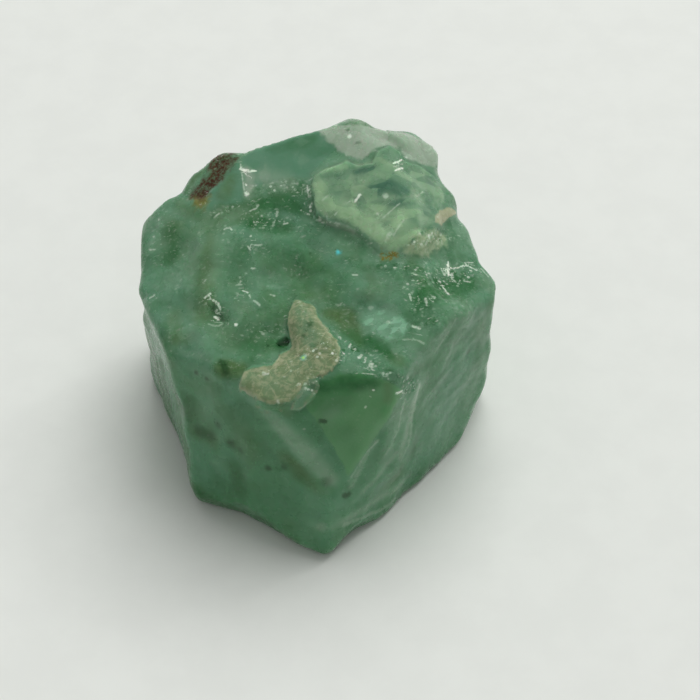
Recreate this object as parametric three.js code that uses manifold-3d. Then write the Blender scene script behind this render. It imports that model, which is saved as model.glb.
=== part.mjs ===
// A rough emerald crystal, broken from its rock: a stubby prism with worn faces and a fractured
// top that rises to the back, with smaller crystals and a crust grown together with it.
// Millimetres, +Z up. It rests on its broken foot, with the origin under the middle of its box.

import * as THREE from 'three';
import { mergeVertices } from 'three/addons/utils/BufferGeometryUtils.js';
import { ImprovedNoise } from 'three/addons/math/ImprovedNoise.js';
import Module from 'manifold-3d';

const wasm = await Module();
wasm.setup();

// ---- driving dimensions ----------------------------------------------------------------------

const HEART = new THREE.Vector3(0, 0, 9);   // the point that every face is measured from
const RINGS = 22;                           // fineness of the ball that is pressed into the faces
const SNAP = 0.38;                          // a point this near an edge moves onto the edge
const BLOCK = 60;                           // side of the block that grinds the foot flat
const ROUNDS = 60;                          // steps in which a point settles on a few planes

// Each face looks outward along an azimuth (0 is +X, 90 is the back, -90 is the front) and a
// tilt above level, in degrees, and lies a reach from the heart, in mm. Waves is the share of the
// surface's unevenness that a smoother face shows.
const FACES = [
  { name: 'left front', azimuth: -126, tilt: 7, reach: 9.6 },
  { name: 'left of the window', azimuth: -110, tilt: 6, reach: 9.8 },
  { name: 'window', azimuth: -79, tilt: 18, reach: 9.25, waves: 0.25 },
  { name: 'right of the window', azimuth: -58, tilt: 5, reach: 9.5 },
  { name: 'right front', azimuth: -41, tilt: 0, reach: 8.9 },
  { name: 'right, below its ledge', azimuth: -20, tilt: -12, reach: 11.8 },
  { name: 'right', azimuth: -5, tilt: 0, reach: 11.9 },
  { name: 'right back', azimuth: 30, tilt: 4, reach: 11.5 },
  { name: 'back, right half', azimuth: 62, tilt: 4, reach: 12.9 },
  { name: 'back', azimuth: 104, tilt: 2, reach: 12.1 },
  { name: 'back left', azimuth: 132, tilt: 6, reach: 13.6 },
  { name: 'left', azimuth: 176, tilt: 2, reach: 12.4 },
  { name: 'left, below its bulge', azimuth: -160, tilt: -4, reach: 10.6 },
  { name: 'foot, left', azimuth: -118, tilt: -18, reach: 12.1 },
  { name: 'foot, right', azimuth: -55, tilt: -18, reach: 11.9 },
  { name: 'below the foot', azimuth: 0, tilt: -90, reach: 10.2 },
  { name: 'smooth back facet', azimuth: -140, tilt: 77, reach: 7.0 },
  { name: 'main break', azimuth: -108, tilt: 75, reach: 6.0 },
  { name: 'right slope', azimuth: 0, tilt: 60, reach: 9.6 },
  { name: 'blunted peak', azimuth: 80, tilt: 50, reach: 15.2 },
  { name: 'left shoulder', azimuth: 165, tilt: 56, reach: 11.4 },
  { name: 'left shoulder, middle', azimuth: -165, tilt: 60, reach: 8.4 },
  { name: 'left shoulder, front', azimuth: -140, tilt: 54, reach: 8.7 },
];

// Dishes bitten out of the top: a middle over the ground plane, half width and half depth, the
// turn of the half width from +X in degrees, and how deep it goes.
const DISHES = [
  { name: 'wide middle hollow', at: [-0.8, 1.6], half: [6.8, 4.8], turn: 12, depth: 0.75 },
  { name: 'right of the crust', at: [3.2, -3.9], half: [3.2, 2.6], turn: -25, depth: 0.8 },
  { name: 'left of the crust', at: [-3.6, -4.8], half: [3.6, 1.9], turn: 6, depth: 0.55 },
  { name: 'below the back facet', at: [-3.4, 5.6], half: [4.6, 2.0], turn: 8, depth: 0.6 },
  { name: 'rough right hollow', at: [8.4, 0.6], half: [2.8, 3.4], turn: 20, depth: 0.7 },
  { name: 'left shoulder hollow', at: [-9.6, 3.4], half: [1.6, 3.2], turn: 0, depth: 0.4 },
  { name: 'left pit', at: [-6.8, -3.2], half: [0.9, 1.1], turn: 0, depth: 0.45 },
];

// Plates raised on the top, each the union of discs [x, y, radius]. Its border wanders by the ragged
// distance, in waves of RAGGED_LENGTH, and rises over the width of its edge.
const RAGGED_LENGTH = 0.9;
const PLATES = [
  {
    name: 'pale crystal',
    discs: [[2.3, 6.6, 2.5], [5.0, 6.6, 3.5], [5.4, 4.2, 2.4], [6.5, 7.2, 2.6]],
    height: 1.1, edge: 0.8, ragged: 0.7,
  },
  {
    name: 'beige crust',
    discs: [[-1.1, -2.2, 0.7], [-0.9, -3.3, 0.8], [-0.5, -4.4, 1.0], [0.0, -5.5, 1.2], [0.7, -6.3, 1.0],
      [-0.8, -6.9, 1.1], [-1.8, -7.6, 1.2], [-2.8, -8.1, 1.4], [-3.8, -7.7, 1.2]],
    height: 0.65, edge: 0.5, ragged: 0.3,
  },
];

// Round lumps that stand out of any side: a middle, a radius and a height.
const LUMPS = [
  { name: 'clear slab', at: [3.9, 11.6, 17.9], radius: 2.8, height: 0.6 },
  { name: 'clear lobe', at: [6.7, 11.0, 16.5], radius: 2.1, height: 2.0 },
  { name: 'clear bead', at: [8.2, 9.3, 15.4], radius: 0.8, height: 0.6 },
  { name: 'rusty knob', at: [-6.9, 10.4, 16.5], radius: 1.4, height: 0.6 },
  { name: 'rusty knob, lower', at: [-8.4, 9.3, 15.5], radius: 1.1, height: 0.4 },
];

// Gentle swellings, which fade out at their radius.
const SWELLS = [
  { name: 'right shoulder', at: [10.0, 5.9, 14.6], radius: 4.0, height: 0.6 },
  { name: 'left shoulder', at: [-10.4, 6.6, 13.6], radius: 5.0, height: 0.7 },
  { name: 'low right corner', at: [9.8, -5.6, 3.4], radius: 2.6, height: 0.8 },
  { name: 'toe', at: [-1.6, -11.8, 0.8], radius: 4.2, height: 0.9 },
  { name: 'heel', at: [-8.6, -7.6, 1.0], radius: 4.2, height: 0.7 },
];

// Unevenness of the surface, in waves of a given length and height. Only a share of it is on the
// smooth facet at the back of the top.
const TOP_WAVES = [{ length: 4.4, height: 0.6 }, { length: 2.1, height: 0.35 }];
const SIDE_WAVES = [{ length: 5.0, height: 0.4 }, { length: 2.2, height: 0.15 }];
const CREST = 0.2;                          // share of a wave's height that stands out of the face
const NEXT_WAVE = 17;                       // shift between one wave's pattern and the next
const BLEND = 1.2;                          // width over which a smoother face calms down from its edge
const CALM = { discs: [[-4.0, 9.9, 1.8], [-1.6, 10.2, 2.0], [0.8, 10.8, 2.0]], share: 0.2 };
const TOP_FROM = 40;                        // a face tilted more than this belongs to the top

// ---- small helpers ---------------------------------------------------------------------------

const radians = THREE.MathUtils.degToRad;
const { smoothstep } = THREE.MathUtils;
const noise = new ImprovedNoise();

function outward({ azimuth, tilt }) {
  const a = radians(azimuth);
  const t = radians(tilt);
  return new THREE.Vector3(Math.cos(t) * Math.cos(a), Math.cos(t) * Math.sin(a), Math.sin(t));
}

const PLANES = FACES.map((face) => ({
  ...face,
  plane: new THREE.Plane().setFromNormalAndCoplanarPoint(
    outward(face),
    HEART.clone().addScaledVector(outward(face), face.reach),
  ),
}));

// the crystal's faces, nearest first, as met by a ray from the heart
function facesAlong(direction) {
  return PLANES
    .filter(({ plane }) => plane.normal.dot(direction) > 1e-6)
    .map((face) => ({ face, far: face.reach / face.plane.normal.dot(direction) }))
    .sort((a, b) => a.far - b.far);
}

// ---- the bare crystal ------------------------------------------------------------------------

// the point on all the given planes that lies nearest to p
function nearestOnPlanes(p, planes) {
  const q = p.clone();
  for (let round = 0; round < ROUNDS; round += 1) {
    planes.forEach((plane) => q.addScaledVector(plane.normal, -plane.distanceToPoint(q)));
  }
  return q;
}

// where a ray from the heart leaves the crystal, moved onto an edge or corner that is near, with the
// share of the waves there; a point on the rim of the top belongs to the top
function onCrystal(direction) {
  const met = facesAlong(direction);
  const p = HEART.clone().addScaledVector(direction, met[0].far);
  const near = met.filter(({ face }) => Math.abs(face.plane.distanceToPoint(p)) < SNAP).slice(0, 3);
  const edge = nearestOnPlanes(p, near.map(({ face }) => face.plane));
  const { tilt, waves: own = 1 } = met[0].face;
  const share = THREE.MathUtils.lerp(1, own, smoothstep(-met[1].face.plane.distanceToPoint(p), 0, BLEND));
  if (edge.distanceTo(p) > 2 * SNAP) return { p, share, onTop: tilt > TOP_FROM };
  return { p: edge, share, onTop: near.some(({ face }) => face.tilt > TOP_FROM) };
}

// ---- relief ----------------------------------------------------------------------------------

function dishDepth(p, { at, half, turn, depth }) {
  const offset = new THREE.Vector2(p.x - at[0], p.y - at[1]);
  offset.rotateAround(new THREE.Vector2(), -radians(turn));
  const q = (offset.x / half[0]) ** 2 + (offset.y / half[1]) ** 2;
  return q < 1 ? depth * (1 - q) : 0;
}

// how far a point lies inside a union of discs on the ground plane
function inside(discs, p) {
  return Math.max(...discs.map(([x, y, r]) => r - Math.hypot(p.x - x, p.y - y)));
}

function plateHeight(p, { discs, height, edge, ragged }) {
  const border = inside(discs, p) + ragged * noise.noise(p.x / RAGGED_LENGTH, p.y / RAGGED_LENGTH, 0.5);
  return height * smoothstep(border, -edge / 2, edge / 2);
}

function lumpHeight(p, { at, radius, height }) {
  const q = p.distanceTo(new THREE.Vector3(...at)) / radius;
  return q < 1 ? height * Math.sqrt(1 - q * q) : 0;
}

function swellHeight(p, { at, radius, height }) {
  const q = p.distanceTo(new THREE.Vector3(...at)) / radius;
  return q < 1 ? height * (1 - q * q) ** 2 : 0;
}

// sharp crests and round troughs, as a break leaves them
function waves(p, list) {
  return list.reduce((sum, { length, height }, k) => {
    const wave = noise.noise(p.x / length + NEXT_WAVE * k, p.y / length, p.z / length);
    return sum + height * (CREST - Math.abs(wave));
  }, 0);
}

// how far the surface stands out of the bare crystal at a point, in mm
function relief(p, share, onTop) {
  let out = Math.max(...LUMPS.map((lump) => lumpHeight(p, lump)));
  out += Math.max(...SWELLS.map((swell) => swellHeight(p, swell)));
  if (!onTop) return out + share * waves(p, SIDE_WAVES);
  out -= DISHES.reduce((sum, dish) => sum + dishDepth(p, dish), 0);
  out += PLATES.reduce((sum, plate) => sum + plateHeight(p, plate), 0);
  const calm = smoothstep(inside(CALM.discs, p), -0.5, 0.5);
  return out + waves(p, TOP_WAVES) * (1 - calm * (1 - CALM.share));
}

function crystalGeometry() {
  const ball = new THREE.IcosahedronGeometry(1, RINGS);
  ball.deleteAttribute('normal');
  ball.deleteAttribute('uv');
  const surface = mergeVertices(ball, 1e-5);
  const place = surface.attributes.position;
  const direction = new THREE.Vector3();
  for (let i = 0; i < place.count; i += 1) {
    direction.fromBufferAttribute(place, i).normalize();
    const { p, share, onTop } = onCrystal(direction);
    const ray = p.clone().sub(HEART).normalize();
    p.addScaledVector(ray, relief(p, share, onTop));
    place.setXYZ(i, p.x, p.y, p.z);
  }
  return surface;
}

// ---- grinding the foot and placing -----------------------------------------------------------

function solid(geometry) {
  const bare = geometry.clone();
  bare.deleteAttribute('normal');
  bare.deleteAttribute('uv');
  const merged = mergeVertices(bare, 1e-5);
  return new wasm.Manifold(new wasm.Mesh({
    numProp: 3,
    vertProperties: new Float32Array(merged.attributes.position.array),
    triVerts: new Uint32Array(merged.index.array),
  }));
}

function grounded(geometry) {
  const below = new THREE.BoxGeometry(BLOCK, BLOCK, BLOCK).translate(0, 0, -BLOCK / 2);
  const mesh = solid(geometry).subtract(solid(below)).getMesh();
  const whole = new THREE.BufferGeometry();
  whole.setAttribute('position', new THREE.BufferAttribute(new Float32Array(mesh.vertProperties), 3));
  whole.setIndex(new THREE.BufferAttribute(new Uint32Array(mesh.triVerts), 1));
  whole.computeBoundingBox();
  const middle = whole.boundingBox.getCenter(new THREE.Vector3());
  return whole.translate(-middle.x, -middle.y, 0);
}

const crystal = new THREE.Mesh(
  grounded(crystalGeometry()),
  new THREE.MeshStandardMaterial({ color: 0x4f7a58, roughness: 0.35, metalness: 0 }),
);
crystal.name = 'emerald_crystal';

const group = new THREE.Group();
group.add(crystal);
export default group;
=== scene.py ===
"""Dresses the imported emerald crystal: its broken surface, crusts, stains, clear and milky places.

Everything is in metres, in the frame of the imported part. Places on the crystal are given in
millimetres from the middle of its foot, which is the middle of the bottom of its box.
"""

import math

import bpy
import numpy as np
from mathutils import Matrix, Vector, noise
from mathutils.bvhtree import BVHTree


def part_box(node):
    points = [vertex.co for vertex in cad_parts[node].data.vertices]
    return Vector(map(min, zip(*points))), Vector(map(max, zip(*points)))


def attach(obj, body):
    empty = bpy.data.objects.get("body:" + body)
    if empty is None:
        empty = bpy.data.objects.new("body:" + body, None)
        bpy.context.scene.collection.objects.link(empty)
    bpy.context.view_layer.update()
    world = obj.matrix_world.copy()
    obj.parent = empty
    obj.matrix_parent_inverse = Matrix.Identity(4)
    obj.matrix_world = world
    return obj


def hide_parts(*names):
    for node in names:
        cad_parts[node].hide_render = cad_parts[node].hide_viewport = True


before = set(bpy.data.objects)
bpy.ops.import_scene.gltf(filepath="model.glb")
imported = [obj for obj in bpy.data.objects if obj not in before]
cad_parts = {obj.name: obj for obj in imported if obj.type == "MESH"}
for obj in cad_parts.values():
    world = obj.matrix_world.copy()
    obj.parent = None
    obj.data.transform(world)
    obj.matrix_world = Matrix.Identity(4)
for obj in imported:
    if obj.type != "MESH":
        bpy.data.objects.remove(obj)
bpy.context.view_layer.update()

bl_info = {
    "name": "Rough emerald crystal",
    "version": (1, 0, 0),
    "blender": (4, 5, 0),
    "location": "3D View > Sidebar > Crystal",
    "description": "Gives a rough emerald crystal its broken surface, crusts, stains and colours",
    "category": "Object",
}

MM = 0.001
NODE = "emerald_crystal"
LOW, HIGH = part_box(NODE)
FOOT = Vector(((LOW.x + HIGH.x) / 2, (LOW.y + HIGH.y) / 2, LOW.z))

# Where the top, the sides, the back and the foot fade in: from and to, as the upward share of the
# surface's direction or as a place in mm.
TOP_LEAN = (0.35, 0.6)
TOP_FROM = (8, 11)
SIDE_LEAN = (0.45, 0.85)
SIDE_UP_TO = (11.2, 14.6)
REAR_FROM = (0, 6)
FOOT_UP_TO = (0.3, 1.8)

# Heights of the fine form over the plain solid, in mm.
BITE = 0.07             # shell-like bites of the broken top
SWELL = 0.10            # soft waves of the sides, of the clear crystal and of the crust
QUARTZ_WAVE = 0.08
CRUST_WAVE = 0.03
CHIP = 0.02             # small flat chips of the top and of the sides
SIDE_CHIP = 0.015
SPARKLE_CHIP = 0.04     # chips and grains where the top sparkles
SPARKLE_GRAIN = 0.03
LOBE = 0.06             # lobes and chips of the pale crystal
LOBE_CHIP = 0.03
PALE_STEP = 0.3         # the pale crystal stands up, and less so toward the front and the right
PALE_STEP_LOSS = 0.22
CRUST_SINK = 0.25       # the crust sinks a little, and its lip stands up again
CRUST_LIP = 0.14
GAP_FILL = 0.35         # behind the pale crystal
HOLLOW = 0.4            # small dark holes
RUST_PIT = 0.12         # the rusty place lies a little lower

GRAIN_WIDTH = 0.34      # width in mm of the finest chips, where the top sparkles
LOBE_WIDTH = 1.5        # width in mm of the pale crystal's lobes
PLANE_REACH = 1.6       # how far off its plane an outline still counts, in mm
FOOT_SKIN = 0.12        # what lies this low, in mm, is pressed flat on the ground
MARGIN = 0.001          # room kept inside the solid's box, in mm
REACH = 3               # the distance from an outline is kept up to this, in mm
STREAK_REACH = 0.5      # a streak is kept for points up to this far from it, in mm
JOIN = 0.001            # corners this close are one, in mm
SHARP = 55              # edges sharper than this stay sharp, in degrees
WEIGHT_STEPS = 512      # steps of a painted weight
SCATTER = 91.7          # spreads the bites' seeds, so that each leans its own way
TINY = 1e-9
NOWHERE = 1e9

# What a place gives back of the light on the stage, and what its sheen adds to every colour.
LIT_GREEN = 0.57
LIT_PALE = 0.88 * LIT_GREEN
LIT_QUARTZ = 0.62
LIT_CRUST = 0.68
SHEEN = 0.015

# Light scatters this far inside, in mm, and red, green and blue by these shares of it. The clear
# inside lets the inner green through.
GLOW_REACH = 0.9
GLOW = (0.6, 1.0, 0.75)
INNER_GREEN = (0.2, 0.75, 0.4, 1)
INNER_DENSITY = 160.0

# The camera looks at AIM, in mm from the middle of the foot. SHIFT moves the crystal off the middle
# of the picture, as shares of its width, and SENSOR is the sensor's width in mm.
AIM = Vector((0.075, -0.811, 8.6))
SHIFT = (0.0457, -0.0071)
SENSOR = 36

# ---- places on the crystal, in mm from the middle of its foot ---------------------------------

# Outlines of patches on the surface, each lying roughly in a plane.
OUTLINES = {
    "crust": [
        (-1.5, -2.4, 14.3), (-1.1, -2.7, 14.8), (-0.7, -2.8, 14.8), (-0.2, -3.1, 14.3),
        (0.0, -4.1, 14.3), (0.5, -4.8, 14.1), (0.95, -5.4, 14.0), (1.35, -6.0, 13.9),
        (1.5, -7.0, 14.2), (1.3, -7.7, 14.2), (1.0, -8.1, 14.0), (0.4, -8.4, 13.9),
        (-0.2, -8.6, 13.7), (-0.7, -8.8, 13.6), (-1.1, -9.3, 13.3), (-1.5, -9.8, 13.1),
        (-1.8, -9.9, 12.7), (-2.2, -10.0, 12.8), (-2.9, -10.0, 12.9), (-3.8, -9.7, 13.0),
        (-4.6, -8.8, 12.6), (-5.0, -8.7, 13.1), (-4.8, -7.8, 13.1), (-4.3, -7.4, 13.2),
        (-3.8, -7.5, 13.3), (-2.9, -7.3, 13.3), (-2.6, -6.9, 13.3), (-2.4, -6.3, 13.3),
        (-1.8, -6.1, 13.4), (-1.4, -5.7, 13.5), (-1.6, -5.0, 13.8), (-1.8, -4.2, 14.2),
        (-1.7, -3.3, 14.4),
    ],
    "crust_glass": [
        (-0.7, -8.8, 13.6), (-0.2, -8.6, 13.7), (0.1, -8.7, 13.7), (0.1, -9.0, 13.2),
        (-0.2, -9.5, 12.9), (-0.8, -9.8, 12.5), (-1.2, -9.9, 12.2), (-1.8, -10.0, 12.3),
        (-1.5, -9.9, 13.1), (-1.1, -9.3, 13.3),
    ],
    "pale": [
        (-0.2, 6.3, 17.2), (0.1, 6.9, 17.5), (0.9, 7.3, 17.9), (2.2, 7.8, 18.1), (3.1, 7.4, 18.0),
        (4.0, 7.5, 18.1), (4.3, 8.5, 18.4), (4.9, 9.1, 18.4), (5.7, 9.0, 17.9), (6.0, 8.3, 17.6),
        (7.1, 8.5, 17.0), (8.0, 8.1, 16.5), (8.7, 7.1, 16.2), (8.8, 5.8, 16.3), (8.4, 4.5, 16.5),
        (7.8, 2.9, 16.8), (7.2, 2.0, 16.9), (6.4, 1.5, 16.7), (5.4, 0.7, 15.9), (4.5, 0.9, 15.9),
        (3.9, 1.7, 16.2), (3.2, 2.4, 16.4), (2.2, 3.0, 16.4), (1.0, 3.6, 16.3), (0.2, 4.2, 16.5),
    ],
    "quartz": [
        (0.1, 11.0, 18.0), (0.8, 11.3, 18.1), (2.7, 10.8, 18.6), (4.3, 10.8, 18.1),
        (5.7, 10.7, 17.8), (7.0, 10.8, 17.6), (8.2, 10.8, 17.2), (8.6, 9.8, 17.0),
        (8.2, 8.7, 16.6), (7.2, 8.5, 16.9), (6.1, 8.4, 17.6), (5.7, 9.0, 17.9),
        (4.9, 9.1, 18.4), (3.9, 8.3, 18.4), (3.1, 7.6, 18.1), (2.0, 8.2, 18.1), (0.9, 9.7, 17.9),
    ],
    "beige_spot": [
        (8.0, 3.5, 16.7), (8.4, 4.4, 16.5), (9.1, 5.2, 16.0), (9.6, 5.6, 15.2), (9.0, 4.6, 15.6),
        (8.5, 3.4, 16.1), (8.0, 3.0, 16.7),
    ],
    "tan": [
        (5.5, 0.7, 15.9), (6.0, 1.2, 16.3), (6.9, 1.6, 16.9), (8.0, 2.5, 16.5), (8.7, 3.0, 15.3),
        (8.7, 2.4, 15.0), (7.9, 2.0, 15.2), (7.4, 1.1, 15.2), (6.4, 0.8, 15.8),
    ],
    "orange": [
        (4.4, 1.1, 16.1), (4.9, 0.8, 15.9), (5.4, 0.8, 15.9), (5.4, 0.4, 15.8), (4.5, 0.3, 15.6),
    ],
    "rust": [
        (-7.3, 9.5, 16.4), (-6.9, 9.8, 16.7), (-6.0, 9.7, 16.8), (-6.3, 8.7, 16.6),
        (-6.7, 7.9, 16.3), (-7.5, 7.3, 15.9), (-7.9, 6.8, 15.6), (-8.6, 7.1, 15.3),
        (-8.0, 7.6, 15.7), (-7.3, 8.1, 16.1),
    ],
    "yellow": [
        (-8.7, 7.0, 15.3), (-7.8, 6.7, 15.6), (-7.4, 6.4, 15.8), (-7.6, 5.7, 15.6),
        (-8.0, 5.4, 15.4), (-8.6, 6.2, 15.2),
    ],
    "back_facet": [
        (-5.2, 9.4, 16.8), (-4.0, 10.1, 17.1), (-2.0, 10.8, 17.5), (0.0, 11.2, 18.0),
        (1.5, 9.1, 18.0), (0.4, 7.9, 17.9), (-0.5, 6.8, 17.2), (-2.0, 7.1, 17.0),
        (-3.4, 6.8, 16.6), (-4.9, 6.6, 16.4),
    ],
    "left_facet": [
        (-6.2, 8.3, 16.5), (-5.4, 9.0, 16.7), (-5.0, 6.6, 16.4), (-5.1, 5.5, 16.1),
        (-6.2, 5.4, 15.9), (-7.2, 5.8, 15.8), (-7.5, 6.9, 15.8),
    ],
    "teal": [
        (2.9, -3.2, 14.2), (3.5, -2.7, 14.5), (4.2, -3.3, 14.4), (5.4, -4.0, 14.6),
        (6.2, -4.9, 14.6), (5.9, -5.3, 14.4), (5.2, -5.6, 14.1), (4.5, -5.7, 14.0),
        (3.9, -4.9, 14.0), (3.3, -4.1, 14.0),
    ],
    "window": [
        (-0.9, -9.7, 12.8), (-0.3, -9.9, 11.7), (0.3, -10.1, 10.7), (0.9, -10.4, 9.6),
        (1.3, -10.6, 8.7), (1.7, -10.7, 7.8), (2.0, -11.0, 6.8), (2.3, -10.8, 7.1),
        (2.8, -10.5, 7.8), (3.2, -10.1, 8.4), (3.8, -9.6, 9.2), (4.5, -9.3, 10.5),
        (5.0, -8.8, 11.4), (5.5, -8.1, 11.9), (5.1, -8.4, 13.0), (4.5, -8.4, 13.4),
        (3.6, -8.3, 13.5), (2.5, -8.1, 13.5), (1.4, -8.4, 13.8), (0.6, -8.5, 13.4),
        (-0.1, -9.0, 13.3), (-0.5, -9.5, 13.1),
    ],
}

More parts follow.
